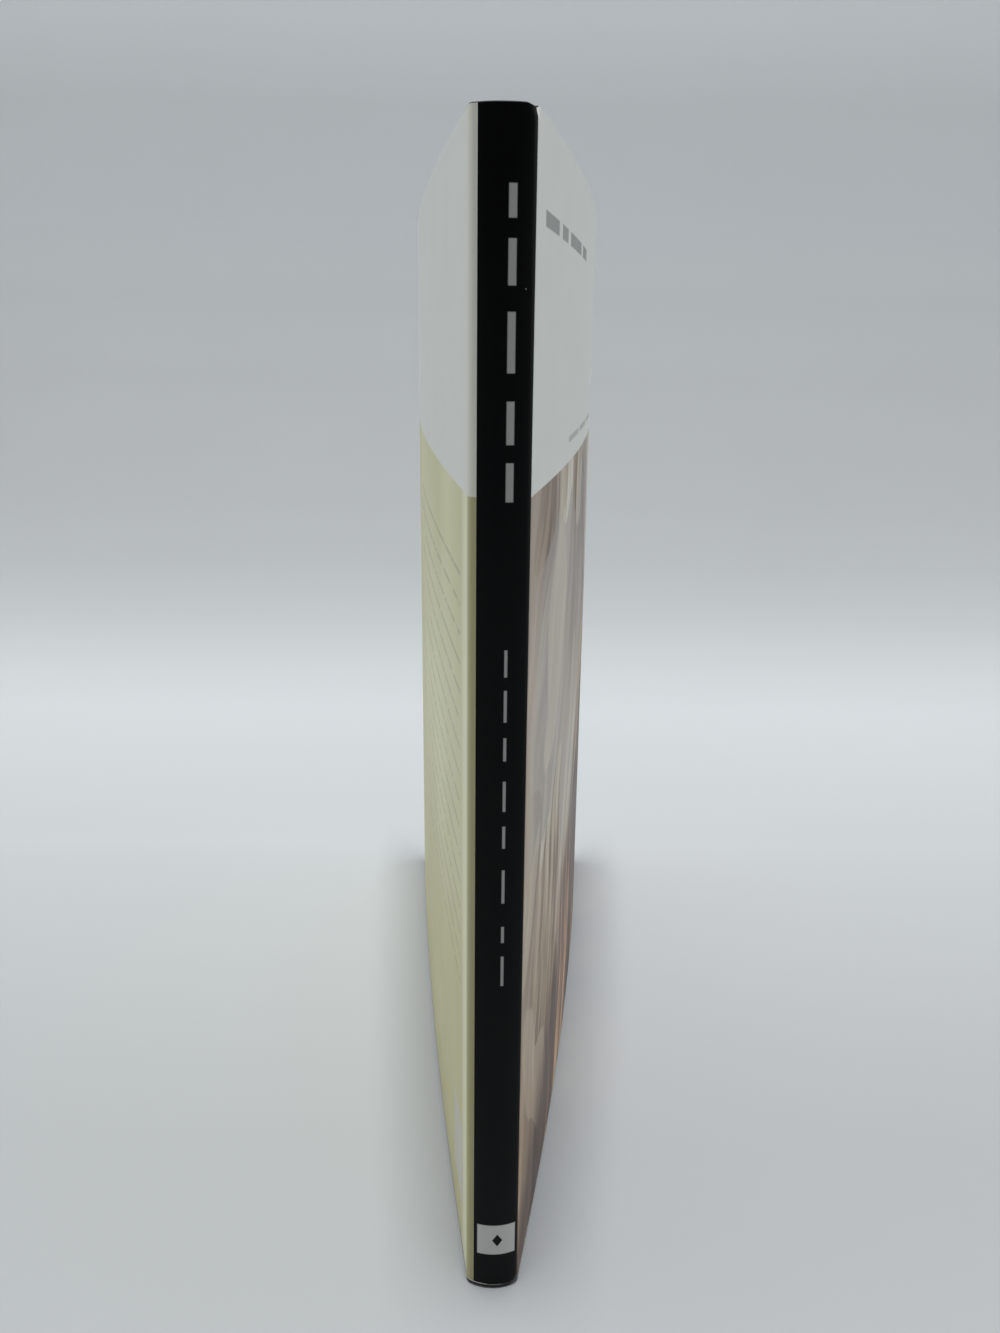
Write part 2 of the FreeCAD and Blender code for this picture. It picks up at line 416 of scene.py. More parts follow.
class Workpiece:
    """One mesh on the bench, shaped with the edit-mode operators."""

    def __init__(self, name: str) -> None:
        """Takes the new primitive, fixes its place in its mesh and names it.

        Args:
            name: Name of the piece.
        """
        bpy.ops.object.transform_apply(location=True, rotation=True, scale=True)
        self.obj = bpy.context.object
        self.obj.name = self.obj.data.name = name

    def take(self) -> None:
        """Selects the piece alone, in object mode."""
        deselect()
        self.obj.select_set(True)
        bpy.context.view_layer.objects.active = self.obj

    def edit(self) -> None:
        """Opens the piece alone in edit mode."""
        self.take()
        bpy.ops.object.mode_set(mode="EDIT")
        bpy.ops.mesh.select_mode(type="VERT")

    def pick(self, part: Part, test: Callable[..., bool]) -> None:
        """Selects the vertices, edges or faces that pass a test, in edit mode.

        Args:
            part: What to select.
            test: Function of what Part.seen tells.
        """
        bpy.ops.mesh.select_mode(type=part.name)
        bpy.ops.mesh.select_all(action="DESELECT")
        bpy.ops.object.mode_set(mode="OBJECT")
        mesh = self.obj.data
        for layer in (mesh.vertices, mesh.edges, mesh.polygons):
            layer.foreach_set("select", [False] * len(layer))
        for item in getattr(mesh, part.value):
            item.select = bool(test(*part.seen(mesh, item)))
        bpy.ops.object.mode_set(mode="EDIT")

    def modifier(self, kind: str, **settings: object) -> None:
        """Adds a modifier and applies it.

        Args:
            kind: Type of the modifier.
            **settings: Its settings.
        """
        self.take()
        made = self.obj.modifiers.new(kind.title(), kind)
        for key, value in settings.items():
            setattr(made, key, value)
        bpy.ops.object.modifier_apply(modifier=made.name)

    def press(self, dent: SoftCorner) -> None:
        """Presses a soft corner into the piece.

        Args:
            dent: The soft corner.
        """
        pegs = []
        for point in (dent.place, dent.place + dent.shift):
            deselect()
            bpy.ops.object.empty_add(location=point)
            pegs.append(bpy.context.object)
        ways = {"object_from": pegs[0], "object_to": pegs[1], "falloff_type": "SMOOTH"}
        self.modifier("WARP", falloff_radius=dent.radius, **ways)
        for peg in pegs:
            bpy.data.objects.remove(peg)

    def dress(self, *finishes: "Finish") -> None:
        """Fills the material slots in order.

        Args:
            *finishes: The finishes.
        """
        self.obj.data.materials.clear()
        for finish in finishes:
            self.obj.data.materials.append(material_of(finish))

    def smooth(self, sharp: float) -> None:
        """Shades the piece smooth, except across edges sharper than an angle in degrees."""
        self.take()
        bpy.ops.object.shade_smooth_by_angle(angle=math.radians(sharp))


class UprightSheet(Workpiece):
    """A sheet standing upright, swept as a column of points along a plan path.

    Its map is in metres: U is the distance travelled, from a chosen start and in a chosen sense,
    and V is the height.
    """

    def __init__(self, name: str, start: Vector, heights: Sequence[float]) -> None:
        """Sets up the column.

        Args:
            name: Name of the piece.
            start: First point of the path.
            heights: Heights of the column's points, rising.
        """
        deselect()
        bpy.ops.mesh.primitive_plane_add(size=1 * MM, location=(start.x, start.y, heights[0]))
        super().__init__(name)
        self.edit()
        bpy.ops.mesh.select_all(action="SELECT")
        bpy.ops.mesh.merge(type="CENTER")
        for low, high in zip(heights, heights[1:]):
            extrude((0, 0, high - low))
        bpy.ops.mesh.select_all(action="SELECT")
        self.ends = (heights[0], heights[-1])
        self.stops = [(flat(start), 0.0)]

    @property
    def here(self) -> Vector:
        """Where the column stands."""
        return self.stops[-1][0]

    @property
    def travelled(self) -> float:
        """Distance travelled so far."""
        return self.stops[-1][1]

    def run_to(self, goal: Vector, steps: int = 1) -> None:
        """Extrudes the sheet straight to a point.

        Args:
            goal: Point to reach.
            steps: Number of equal parts.
        """
        stride = (flat(goal) - self.here) / steps
        for _ in range(steps):
            extrude(stride)
            self.stops.append((self.here + stride, self.travelled + stride.length))

    def turn(self, centre: Vector, angle: float, steps: int) -> None:
        """Spins the sheet round a centre.

        Args:
            centre: Centre of the bend.
            angle: Angle in radians, positive clockwise seen from the head.
            steps: Number of equal parts.
        """
        centre = flat(centre)
        bpy.ops.mesh.spin(steps=steps, angle=angle, center=centre, axis=(0, 0, 1))
        arm, start = self.here - centre, self.travelled
        for step in range(1, steps + 1):
            part = angle * step / steps
            stop = centre + Matrix.Rotation(-part, 3, "Z") @ arm
            self.stops.append((stop, start + arm.length * abs(part)))

    def turn_to(self, centre: Vector, goal: Vector, steps: int, clockwise: bool = True) -> None:
        """Spins the sheet round a centre until it is level with a point.

        Args:
            centre: Centre of the bend.
            goal: Point, seen from the centre, at which the bend stops.
            steps: Number of equal parts.
            clockwise: Sense of the bend, seen from the head.
        """
        arm, end = self.here - centre, goal - centre
        swept = math.atan2(arm.y, arm.x) - math.atan2(end.y, end.x)
        self.turn(centre, swept % math.tau if clockwise else -((-swept) % math.tau), steps)

    def ease_to(self, goal: Vector, leave: Vector, arrive: Vector, steps: int) -> None:
        """Extrudes the sheet along an even S-bend.

        Args:
            goal: Point to reach.
            leave: Direction at the start.
            arrive: Direction at the end.
            steps: Number of parts.
        """
        start, span = self.here.copy(), (goal - self.here).length
        for step in range(1, steps + 1):
            t = step / steps
            self.run_to(
                start * (2 * t**3 - 3 * t**2 + 1)
                + leave.normalized() * span * (t**3 - 2 * t**2 + t)
                + goal * (3 * t**2 - 2 * t**3)
                + arrive.normalized() * span * (t**3 - t**2)
            )

    def fold_over(
        self, cover: CoverPlan, edge: float, inside: float, depths: tuple[float, float],
        radius: float, steps: tuple[int, int],
    ) -> None:
        """Takes the sheet over an edge of its cover, with a rounding at each of its corners.

        Args:
            cover: Plan of the cover.
            edge: Distance from the hinge line to the outside of the fold.
            inside: Distance from the hinge line at which the fold starts and ends.
            depths: Depths of the face that the sheet leaves and of the face that it reaches.
            radius: Outside radius of the corners.
            steps: Parts of each corner, and of the straight between them.
        """
        leave, arrive = depths
        drop = math.copysign(radius, arrive - leave)
        first, last = leave + drop, arrive - drop
        self.turn_to(cover.point(first, inside), cover.point(first, edge), steps[0])
        self.run_to(cover.point(last, edge), steps[1])
        self.turn_to(cover.point(last, inside), cover.point(arrive, inside), steps[0])

    def cap(self) -> None:
        """Joins the end of the sweep to its start, and closes the foot and the top."""
        bpy.ops.mesh.select_all(action="SELECT")
        bpy.ops.mesh.remove_doubles(threshold=WELD)
        for end in self.ends:
            self.pick(Part.EDGE, at_height(end))
            bpy.ops.mesh.edge_face_add()

    def map_from(self, start: float, sense: int = -1) -> None:
        """Lays the map on the sheet.

        Args:
            start: U at the first column.
            sense: 1 if U grows with the travel, -1 if it falls.
        """
        bpy.ops.object.mode_set(mode="OBJECT")
        mesh = self.obj.data
        layer = mesh.uv_layers[0]
        layer.name = "Sheet"
        found: dict[tuple[float, float], float] = {}
        for loop in mesh.loops:
            place = mesh.vertices[loop.vertex_index].co
            key = (round(place.x, 6), round(place.y, 6))
            if key not in found:
                foot = flat(place)
                nearest = min(self.stops, key=lambda stop: (stop[0] - foot).length_squared)
                found[key] = start + sense * nearest[1]
            layer.data[loop.index].uv = (found[key], place.z)

    def thicken(self, thickness: float, *finishes: "Finish") -> None:
        """Dresses the sheet and gives it its thickness, inwards.

        Args:
            thickness: Thickness of the sheet.
            *finishes: One finish, or those of the outside, the inside and the cut edges.
        """
        bpy.ops.object.mode_set(mode="OBJECT")
        self.dress(*finishes)
        inner, rim = (1, 2) if len(finishes) > 1 else (0, 0)
        self.modifier(
            "SOLIDIFY", thickness=thickness, offset=-1.0, use_even_offset=True, use_rim=True,
            material_offset=inner, material_offset_rim=rim,
        )

    def make_up(
        self, thickness: float, *finishes: "Finish", corners: Iterable[SoftCorner] = (),
        sharp: float = 50.0,
    ) -> bpy.types.Object:
        """Thickens the sheet, presses its corners and smooths it.

        Args:
            thickness: Thickness of the sheet.
            *finishes: One finish, or those of the outside, the inside and the cut edges.
            corners: Its soft corners.
            sharp: Angle in degrees above which an edge stays sharp.

        Returns:
            The finished piece.
        """
        self.thicken(thickness, *finishes)
        for corner in corners:
            self.press(corner)
        self.smooth(sharp)
        return self.obj


# ---- Node trees --------------------------------------------------


class Signal:
    """Output of a node, with plain arithmetic, in which each step is a Math node."""

    def __init__(self, graph: "Graph", socket: bpy.types.NodeSocket) -> None:
        """Takes the output of a node."""
        self.graph, self.socket = graph, socket

    def __add__(self, other: "Feed") -> "Signal":
        """This plus another value."""
        return self.graph.math("ADD", self, other)

    def __sub__(self, other: "Feed") -> "Signal":
        """This less another value."""
        return self.graph.math("SUBTRACT", self, other)

    def __rsub__(self, other: float) -> "Signal":
        """A number less this."""
        return self.graph.math("SUBTRACT", other, self)

    def __mul__(self, other: "Feed") -> "Signal":
        """This times another value."""
        return self.graph.math("MULTIPLY", self, other)

    def __truediv__(self, other: "Feed") -> "Signal":
        """This divided by another value."""
        return self.graph.math("DIVIDE", self, other)

    def __abs__(self) -> "Signal":
        """This without its sign."""
        return self.graph.math("ABSOLUTE", self)


Feed = Signal | float | Sequence[float]
Signals = dict[str, Signal]


class Graph:
    """Short way to write a node tree."""

    def __init__(self, tree: bpy.types.NodeTree) -> None:
        """Takes the tree to write in."""
        self.tree = tree

    def add(self, kind: str, inputs: dict | None = None, **settings: object) -> bpy.types.Node:
        """Adds a node.

        Args:
            kind: Node type without its "ShaderNode" prefix.
            inputs: Values for its inputs, by name or number.
            **settings: Properties of the node.

        Returns:
            The node.
        """
        node = self.tree.nodes.new(kind if kind.startswith("Node") else "ShaderNode" + kind)
        for key, value in settings.items():
            setattr(node, key, value)
        for key, value in (inputs or {}).items():
            self.feed(node.inputs[key], value)
        return node

    def feed(self, socket: bpy.types.NodeSocket, value: Feed) -> None:
        """Links a socket to a signal, or sets its own value.

        Args:
            socket: The input of a node.
            value: What it gets.
        """
        if isinstance(value, Signal):
            self.tree.links.new(value.socket, socket)
        elif socket.type == "RGBA":
            socket.default_value = (*value, 1.0)
        else:
            socket.default_value = value

    def read(
        self, kind: str, inputs: dict | None = None, output: int | str = 0, **settings: object
    ) -> Signal:
        """Adds a node, and reads one of its outputs by name or number."""
        return Signal(self, self.add(kind, inputs, **settings).outputs[output])

    def math(self, operation: str, a: Feed, b: Feed = 0.0, clamp: bool = False) -> Signal:
        """Outcome of a Math node on one or two values."""
        return self.read("Math", {0: a, 1: b}, operation=operation, use_clamp=clamp)

    def mix(self, share: Feed, a: Feed, b: Feed, blend: str = "MIX") -> Signal:
        """Colour mixed from two colours."""
        return self.read("Mix", {0: share, 6: a, 7: b}, 2, data_type="RGBA", blend_type=blend)

    def span(
        self, value: Feed, low: float, high: float, to_low: float = 0.0, to_high: float = 1.0
    ) -> Signal:
        """Value carried softly from one range to another and held at its ends."""
        limits = {0: value, 1: low, 2: high, 3: to_low, 4: to_high}
        return self.read("MapRange", limits, interpolation_type="SMOOTHSTEP")

    def ramp(self, value: Feed, stops: Sequence[tuple[float, Colour]]) -> Signal:
        """Colour read from a ramp.

        Args:
            value: Where the ramp is read.
            stops: Places and colours along the ramp.

        Returns:
            The colour.
        """
        node = self.add("ValToRGB", {0: value})
        elements = node.color_ramp.elements
        while len(elements) < len(stops):
            elements.new(0.5)
        for element, (place, colour) in zip(elements, stops):
            element.position, element.color = place, (*colour, 1.0)
        return Signal(self, node.outputs[0])

    def noise(
        self, vector: Feed, scale: Feed, detail: float = 2.0, rough: float = 0.5, warp: float = 0.0
    ) -> Signal:
        """Noise of 0 to 1."""
        look = {"Scale": scale, "Detail": detail, "Roughness": rough, "Distortion": warp}
        return self.read("TexNoise", {"Vector": vector, **look})

    def stretched(
        self, vector: Feed, scale: Sequence[float], shift: float = 0.0, turn: float = 0.0
    ) -> Signal:
        """Vector scaled, moved along its first axis and turned about its third."""
        changes = {"Location": (shift, 0, 0), "Rotation": (0, 0, turn), "Scale": scale}
        return self.read("Mapping", {"Vector": vector, **changes})

    def vector(self, x: Feed, y: Feed = 0.0, z: Feed = 0.0) -> Signal:
        """Vector of three values."""
        return self.read("CombineXYZ", {0: x, 1: y, 2: z})

    def parts(self, vector: Feed) -> list[Signal]:
        """The three values of a vector."""
        return [Signal(self, part) for part in self.add("SeparateXYZ", {0: vector}).outputs]

    def sheet(self) -> Signal:
        """The sheet's own map."""
        return self.read("UVMap", uv_map="Sheet")

    def place(self) -> Signal:
        """Object coordinates."""
        return self.read("TexCoord", output="Object")

    def facing(self) -> list[Signal]:
        """The three values of the surface's normal."""
        return self.parts(self.read("NewGeometry", output="Normal"))

    def effect(self, effect: "Effect", **values: Feed) -> Signals:
        """Places a shared effect with values for its inputs, and reads all its outputs."""
        node = self.add("Group", values, node_tree=group_of(effect))
        return {socket.name: Signal(self, socket) for socket in node.outputs}


class Paint(Graph):
    """Node tree of a material, with its shader."""

    def __init__(self, tree: bpy.types.NodeTree) -> None:
        """Puts the shader in an empty tree.

        Args:
            tree: The tree.
        """
        super().__init__(tree)
        self.shader = self.add("BsdfPrincipled")
        self.add("OutputMaterial", {"Surface": Signal(self, self.shader.outputs[0])})

    def coat(
        self, colour: Feed, rough: Feed, relief: Feed | None = None, depth: float = 0.0,
        strength: float = 0.8, specular: float = 0.5,
    ) -> None:
        """Feeds the shader.

        Args:
            colour: Colour of the surface.
            rough: Its roughness.
            relief: Height of its relief, 0 to 1.
            depth: Depth of the relief, in metres.
            strength: How strongly the relief shades.
            specular: Specular level of the surface.
        """
        self.feed(self.shader.inputs["Base Color"], colour)
        self.feed(self.shader.inputs["Roughness"], rough)
        self.shader.inputs["Specular IOR Level"].default_value = specular
        if relief is not None:
            bump = self.read("Bump", {"Height": relief, "Distance": depth, "Strength": strength})
            self.feed(self.shader.inputs["Normal"], bump)


def paper_fibre(g: Graph, i: Signals) -> Signals:
    """Felted fibres of uncoated paper and board: a fine height and a cloudy tone.

    Args:
        g: Graph of the group.
        i: Its inputs.

    Returns:
        Its outputs.
    """
    fine = g.noise(i["Vector"], i["Fineness"], detail=3.0, rough=0.6)
    long = g.noise(g.stretched(i["Vector"], (0.25, 1.0, 1.0)), i["Fineness"], warp=0.6)
    cloud = g.noise(i["Vector"], i["Cloud"], detail=4.0, rough=0.6)
    return {"Height": fine * 0.5 + long * 0.5, "Tone": cloud * 0.65 + fine * 0.35}


def lamination_rub(g: Graph, i: Signals) -> Signals:
    """Film laminate: hand rubs, hairline scratches and the faint unevenness of the sheet.

    Args:
        g: Graph of the group.
        i: Its inputs.

    Returns:
        Its outputs.
    """
    vector = i["Vector"]
    rub = g.span(g.noise(vector, 38.0, detail=5.0, rough=0.62, warp=0.4), 0.35, 0.75)
    down = g.noise(g.stretched(vector, (90.0, 1300.0, 1.0), turn=0.5), 1.0, detail=1.0)
    across = g.noise(g.stretched(vector, (1500.0, 70.0, 1.0), turn=-0.2), 1.0, detail=1.0)
    scratch = g.span(g.math("MAXIMUM", down, across), 0.72, 0.8) * i["Scratches"]
    peel, wave = g.noise(vector, 900.0), g.noise(vector, 16.0)
    return {"Rub": rub, "Scratch": scratch, "Height": peel * 0.06 + wave - scratch * 0.05}


def edge_wear(g: Graph, i: Signals) -> Signals:
    """Wear that eats in from an edge: full at no distance, ragged and gone past its width.

    Args:
        g: Graph of the group.
        i: Its inputs.

    Returns:
        Its output.
    """
    ragged = g.noise(i["Vector"], i["Scale"], detail=3.0, rough=0.65) * 2.0
    patchy = g.span(g.noise(i["Vector"], i["Scale"] * 0.12), 0.32, 0.6)
    inside = i["Width"] * (ragged * patchy) - i["Distance"]
    return {"Wear": g.math("DIVIDE", inside, i["Width"] * 0.25, clamp=True)}


def print_window(g: Graph, i: Signals) -> Signals:
    """Mask of an upright rectangle in the map of a sheet.

    Args:
        g: Graph of the group.
        i: Its inputs.

    Returns:
        Its output.
    """
    gaps = (i["U"] - i["Left"], i["Right"] - i["U"], i["V"] - i["Bottom"], i["Top"] - i["V"])
    sides = [g.math("ADD", gap / i["Soft"], 0.5, clamp=True) for gap in gaps]
    return {"Mask": sides[0] * sides[1] * (sides[2] * sides[3])}


def broken_rules(g: Graph, i: Signals) -> Signals:
    """Mask of plain rules, one under another, broken into uneven lengths.

    Args:
        g: Graph of the group.
        i: Its inputs.

    Returns:
        Its output.
    """
    row = i["Fall"] / i["Pitch"]
    within = abs(g.math("FRACT", row) - 0.5)
    bar = g.math("MULTIPLY", i["Share"] * 0.5 - within, 12.0, clamp=True)
    spot = g.stretched(g.vector(i["Run"] / i["Length"], g.math("FLOOR", row)), (2.6, 7.3, 1.0))
    return {"Mask": bar * g.span(g.noise(spot, 1.0, detail=1.0), 0.38, 0.43)}


class Effect(Enum):
    """The effects that finishes share, each with its inputs; one without a value is a vector."""

    FIBRE = (paper_fibre, {"Vector": None, "Fineness": 2500.0, "Cloud": 120.0})
    RUB = (lamination_rub, {"Vector": None, "Scratches": 0.5})
    WEAR = (edge_wear, {"Vector": None, "Distance": 1.0, "Width": 0.3 * MM, "Scale": 900.0})
    WINDOW = (
        print_window,
        {"U": 0.0, "V": 0.0, "Left": 0.0, "Right": 1.0, "Bottom": 0.0, "Top": 1.0,
         "Soft": 0.12 * MM},
    )
    RULES = (
        broken_rules,
        {"Run": 0.0, "Fall": 0.0, "Pitch": 5 * MM, "Share": 0.4, "Length": 9 * MM},
    )


@cache
def group_of(effect: Effect) -> bpy.types.NodeTree:
    """Builds the node group of an effect, once.

    Args:
        effect: The effect.

    Returns:
        The group.
    """
    write, inputs = effect.value
    tree = bpy.data.node_groups.new(write.__name__, "ShaderNodeTree")
    for key, value in inputs.items():
        kind = "NodeSocketVector" if value is None else "NodeSocketFloat"
        socket = tree.interface.new_socket(name=key, in_out="INPUT", socket_type=kind)
        if value is not None:
            socket.default_value = value
    g = Graph(tree)
    entry = g.add("NodeGroupInput")
    outputs = write(g, {socket.name: Signal(g, socket) for socket in entry.outputs if socket.name})
    for key in outputs:
        tree.interface.new_socket(name=key, in_out="OUTPUT", socket_type="NodeSocketFloat")
    g.add("NodeGroupOutput", outputs)
    return tree


# ---- Finishes ----------------------------------------------------


@dataclass(frozen=True)
class Finish:
    """Finish of a surface, painted in a material of its name."""

    name: str

    def paint(self, g: Paint) -> None:
        """Paints the material."""
        raise NotImplementedError


@cache
def material_of(finish: Finish) -> bpy.types.Material:
    """Makes the material of a finish, once.

    Args:
        finish: The finish.

    Returns:
        The material.
    """
    material = bpy.data.materials.new(finish.name)
    material.use_nodes = True
    material.node_tree.nodes.clear()
    finish.paint(Paint(material.node_tree))
    return material


@dataclass(frozen=True)
class Stock(Finish):
    """Plain paper or card.

    Attributes:
        light: Its lighter colour.
        dark: Its darker colour.
        fineness: Scale of its fibres.
        relief: Depth of the fibres' relief, in metres.
        mapped: Whether it reads the sheet's map rather than object coordinates.
    """

    light: Colour
    dark: Colour
    fineness: float = 2500.0
    relief: float = 0.02 * MM
    mapped: bool = False

    def paint(self, g: Paint) -> None:
        """Paints the fibres in the two colours.

        Args:
            g: Graph of the material.
        """
        vector = g.sheet() if self.mapped else g.place()
        fibre = g.effect(Effect.FIBRE, Vector=vector, Fineness=self.fineness)
        tone = g.span(fibre["Tone"], *MIDDLE)
        rough = g.span(tone, 0.0, 1.0, to_low=0.91, to_high=0.79)
        colour = g.mix(tone, self.dark, self.light)
        g.coat(colour, rough, fibre["Height"], depth=self.relief, strength=0.6, specular=0.35)


@dataclass(frozen=True)
class FleckedBoard(Stock):
    """Grey board pressed from waste paper, with darker flecks in it."""

    fleck: Colour = srgb(70, 66, 60)

    def paint(self, g: Paint) -> None:
        """Paints the fibres, and the flecks over them.

        Args:
            g: Graph of the material.
        """
        vector = g.place()
        fibre = g.effect(Effect.FIBRE, Vector=vector, Fineness=self.fineness)
        body = g.mix(g.span(fibre["Tone"], *MIDDLE), self.dark, self.light)
        flecks = g.span(g.noise(vector, self.fineness * 0.6, detail=1.0), 0.68, 0.74)
        rough = g.span(fibre["Tone"], *BROAD, to_low=0.95, to_high=0.8)
        g.coat(g.mix(flecks, body, self.fleck), rough, fibre["Height"], self.relief)


@dataclass(frozen=True)
class CasePaper(Finish):
    """Dark paper that covers the boards, finely embossed and rubbed pale along its folds.

    Attributes:
        colour: Its colour.
        lifted: Colour of its raised fibres.
        chip: Colour of the paper's core where it is rubbed.
        head_spare: Distance by which the head is rubbed less than the tail.
    """

    name: str = "case_paper_charcoal"
    colour: Colour = srgb(24, 24, 27)
    lifted: Colour = srgb(40, 40, 43)
    chip: Colour = srgb(176, 172, 164)
    head_spare: float = 0.1 * MM

    def paint(self, g: Paint) -> None:
        """Paints the paper, and rubs it at head and tail where it doesn't lie level.

        Args:
            g: Graph of the material.
        """
        vector = g.place()
        fibre = g.effect(Effect.FIBRE, Vector=vector, Fineness=3200.0, Cloud=60.0)
        height = g.parts(vector)[2]
        tail, head = ends("case_spine")
        edge = g.math("MINIMUM", height - tail, head - height + self.head_spare)
        wear = g.effect(Effect.WEAR, Vector=vector, Distance=edge, Width=0.22 * MM, Scale=700.0)
        rubbed = wear["Wear"] * g.span(abs(g.facing()[2]), 0.95, 0.4, to_low=0.06, to_high=0.5)
        ink = g.mix(g.span(fibre["Tone"], *MIDDLE), self.colour, self.lifted)
        rough = g.span(fibre["Tone"], *BROAD, to_low=0.62, to_high=0.5)
        g.coat(g.mix(rubbed, ink, self.chip), rough, fibre["Height"], depth=0.03 * MM, strength=0.7)


@dataclass(frozen=True)
class LeafEdges(Finish):
    """Cut edges of the pages: fine lines between the leaves, and plain paper on the flat faces.

    Attributes:
        light: Colour of the leaves.
        shade: Colour of the gaps between them.
        leaf: Thickness of a leaf.
        drift: How far the leaves wander sideways.
    """

    name: str = "page_edges"
    light: Colour = srgb(212, 209, 200)
    shade: Colour = srgb(158, 153, 142)
    leaf: float = 0.11 * MM
    drift: float = 0.25 * MM

    def paint(self, g: Paint) -> None:
        """Paints the lines of the leaves and, coarser, of packs of leaves.

        Args:
            g: Graph of the material.
        """
        vector = g.place()
        x, y, z = g.parts(vector)
        across = x + g.noise(g.stretched(vector, (30.0, 12.0, 12.0)), 1.0) * self.drift
        leaves = g.vector(across / self.leaf, y * 14.0, z * 14.0)
        packs = g.noise(g.stretched(leaves, (0.13, 1.0, 1.0)), 1.0, detail=1.0)
        both = g.noise(leaves, 1.0, rough=0.7) * 0.7 + packs * 0.3
        edge = g.span(abs(g.facing()[0]), 0.9, 0.6)
        lines = g.ramp(both, [(0.3, grey(0.0)), (0.62, grey(1.0))])
        colour = g.mix(g.mix(edge, grey(0.75), lines), self.shade, self.light)
        rough = g.span(both, *MIDDLE, to_low=0.9, to_high=0.72)
        g.coat(colour, rough, both * edge, depth=0.05 * MM)


@dataclass(frozen=True)
class WovenThread(Finish):
    """Thread of the head and tail bands, in slanting turns."""

    name: str = "band_thread"
    light: Colour = srgb(222, 218, 206)
    shade: Colour = srgb(168, 162, 148)

    def paint(self, g: Paint) -> None:
        """Paints the turns of the thread and its ply.

        Args:
            g: Graph of the material.
        """
        vector = g.place()
        slanted = g.stretched(vector, (1.0, 0.45, 0.45))
        look = {"Scale": 900.0, "Distortion": 1.2, "Detail": 2.0, "Detail Scale": 2.0}
        wave = g.read("TexWave", {"Vector": slanted, **look}, "Fac")
        ply = g.noise(g.stretched(vector, (1.0, 3.0, 3.0)), 4000.0)
        turns = wave * 0.75 + ply * 0.25
        rough = g.span(turns, 0.0, 1.0, to_low=0.85, to_high=0.6)
        g.coat(g.mix(turns, self.shade, self.light), rough, turns, depth=0.1 * MM)


@dataclass(frozen=True)
class Gauze(Finish):
    """Open-weave mull soaked in glue: threads crossing, with glue in the gaps."""

    name: str = "mull_gauze"
    thread: Colour = srgb(214, 208, 192)
    glue: Colour = srgb(150, 138, 112)
    pitch: float = 0.9 * MM

    def paint(self, g: Paint) -> None:
        """Paints the threads both ways and the glue between them.

        Args:
            g: Graph of the material.
        """
        x, y, z = g.parts(g.place())
        within = [abs(g.math("FRACT", run / self.pitch) - 0.5) for run in (x + y, z)]
        gaps = (g.span(run, 0.16, 0.28, to_low=1.0, to_high=0.0) for run in within)
        weave = g.math("MAXIMUM", *gaps)
        fibre = g.effect(Effect.FIBRE, Vector=g.place(), Fineness=4000.0)
        thread = g.mix(fibre["Tone"], self.glue, self.thread)
        rough = g.span(weave, 0.0, 1.0, to_low=0.4, to_high=0.85)
        g.coat(g.mix(weave, self.glue, thread), rough, weave, depth=0.12 * MM)


@dataclass(frozen=True)
class JacketSheet(Finish):
    """The printed jacket, laid flat: U is 0 on the crest of the spine and grows to the front.

    The boxes of what is printed, the widths of their edges and the places between which a tone
    comes or goes are in millimetres.

    Attributes:
        band_foot: Height of the foot of the white band.
        band_blur: Half of the width of its edge.
        fold: U at which the jacket turns round a fore-edge.
        past_fold: Distances beyond the fold between which the print ends.
        white: Unprinted coated paper.
        core: Paper showing where the film and the ink are worn away.
        wear: How far the wear eats in from the tail.
    """

    band_foot: float = 169.7 * MM
    band_blur: float = 0.15 * MM
    fold: float = 202.6 * MM
    past_fold: tuple = (1.2 * MM, 1.6 * MM)
    white: Colour = srgb(238, 241, 236)
    core: Colour = srgb(240, 238, 230)
    wear: float = 0.22 * MM

    def window(self, g: Paint, u: Signal, v: Signal, box: Sequence[float], soft: float) -> Signal:
        """Mask of a rectangle, given as its left, right, bottom and top."""
        sides = {key: place * MM for key, place in zip(("Left", "Right", "Bottom", "Top"), box)}
        return g.effect(Effect.WINDOW, U=u, V=v, Soft=soft * MM, **sides)["Mask"]

    def fade(self, g: Paint, run: Signal, places: Sequence[float]) -> Signal:
        """Mask that comes softly from the first place to the second."""
        return g.span(run, *(place * MM for place in places))

    def paper(self, g: Paint) -> Signal:
        """Colour of the unprinted paper."""
        return g.mix(g.noise(g.sheet(), 60.0, detail=3.0), dimmed(self.white, 0.95), self.white)

    def banded(self, g: Paint, ink: Signal, paper: Signal) -> Signal:
        """Ink below the foot of the white band, and paper above it."""
        foot, blur = self.band_foot, self.band_blur
        return g.mix(g.span(g.parts(g.sheet())[1], foot - blur, foot + blur), ink, paper)

    def laminate(self, g: Paint, ink: Signal) -> None:
        """Puts film, rubs and a worn tail over the ink, and leaves the flap plain.

        Args:
            g: Graph of the material.
            ink: Colour of the print.
        """
        vector = g.sheet()
        u, v, _ = g.parts(vector)
        flap = g.span(abs(u), *(self.fold + reach for reach in self.past_fold))
        ink = g.mix(flap, ink, self.paper(g))
        down = v - ends("jacket_spine")[0]
        wear = g.effect(Effect.WEAR, Vector=vector, Distance=down, Width=self.wear, Scale=650.0)
        rub = g.effect(Effect.RUB, Vector=vector, Scratches=0.5)
        film = rub["Rub"] * 0.10 + 0.40 + rub["Scratch"] * 0.12
        rough = g.math("MAXIMUM", film, wear["Wear"] * 0.85)
        worn = g.mix(wear["Wear"], ink, self.core)
        g.coat(worn, rough, rub["Height"], depth=0.12 * MM, strength=0.5, specular=0.11)


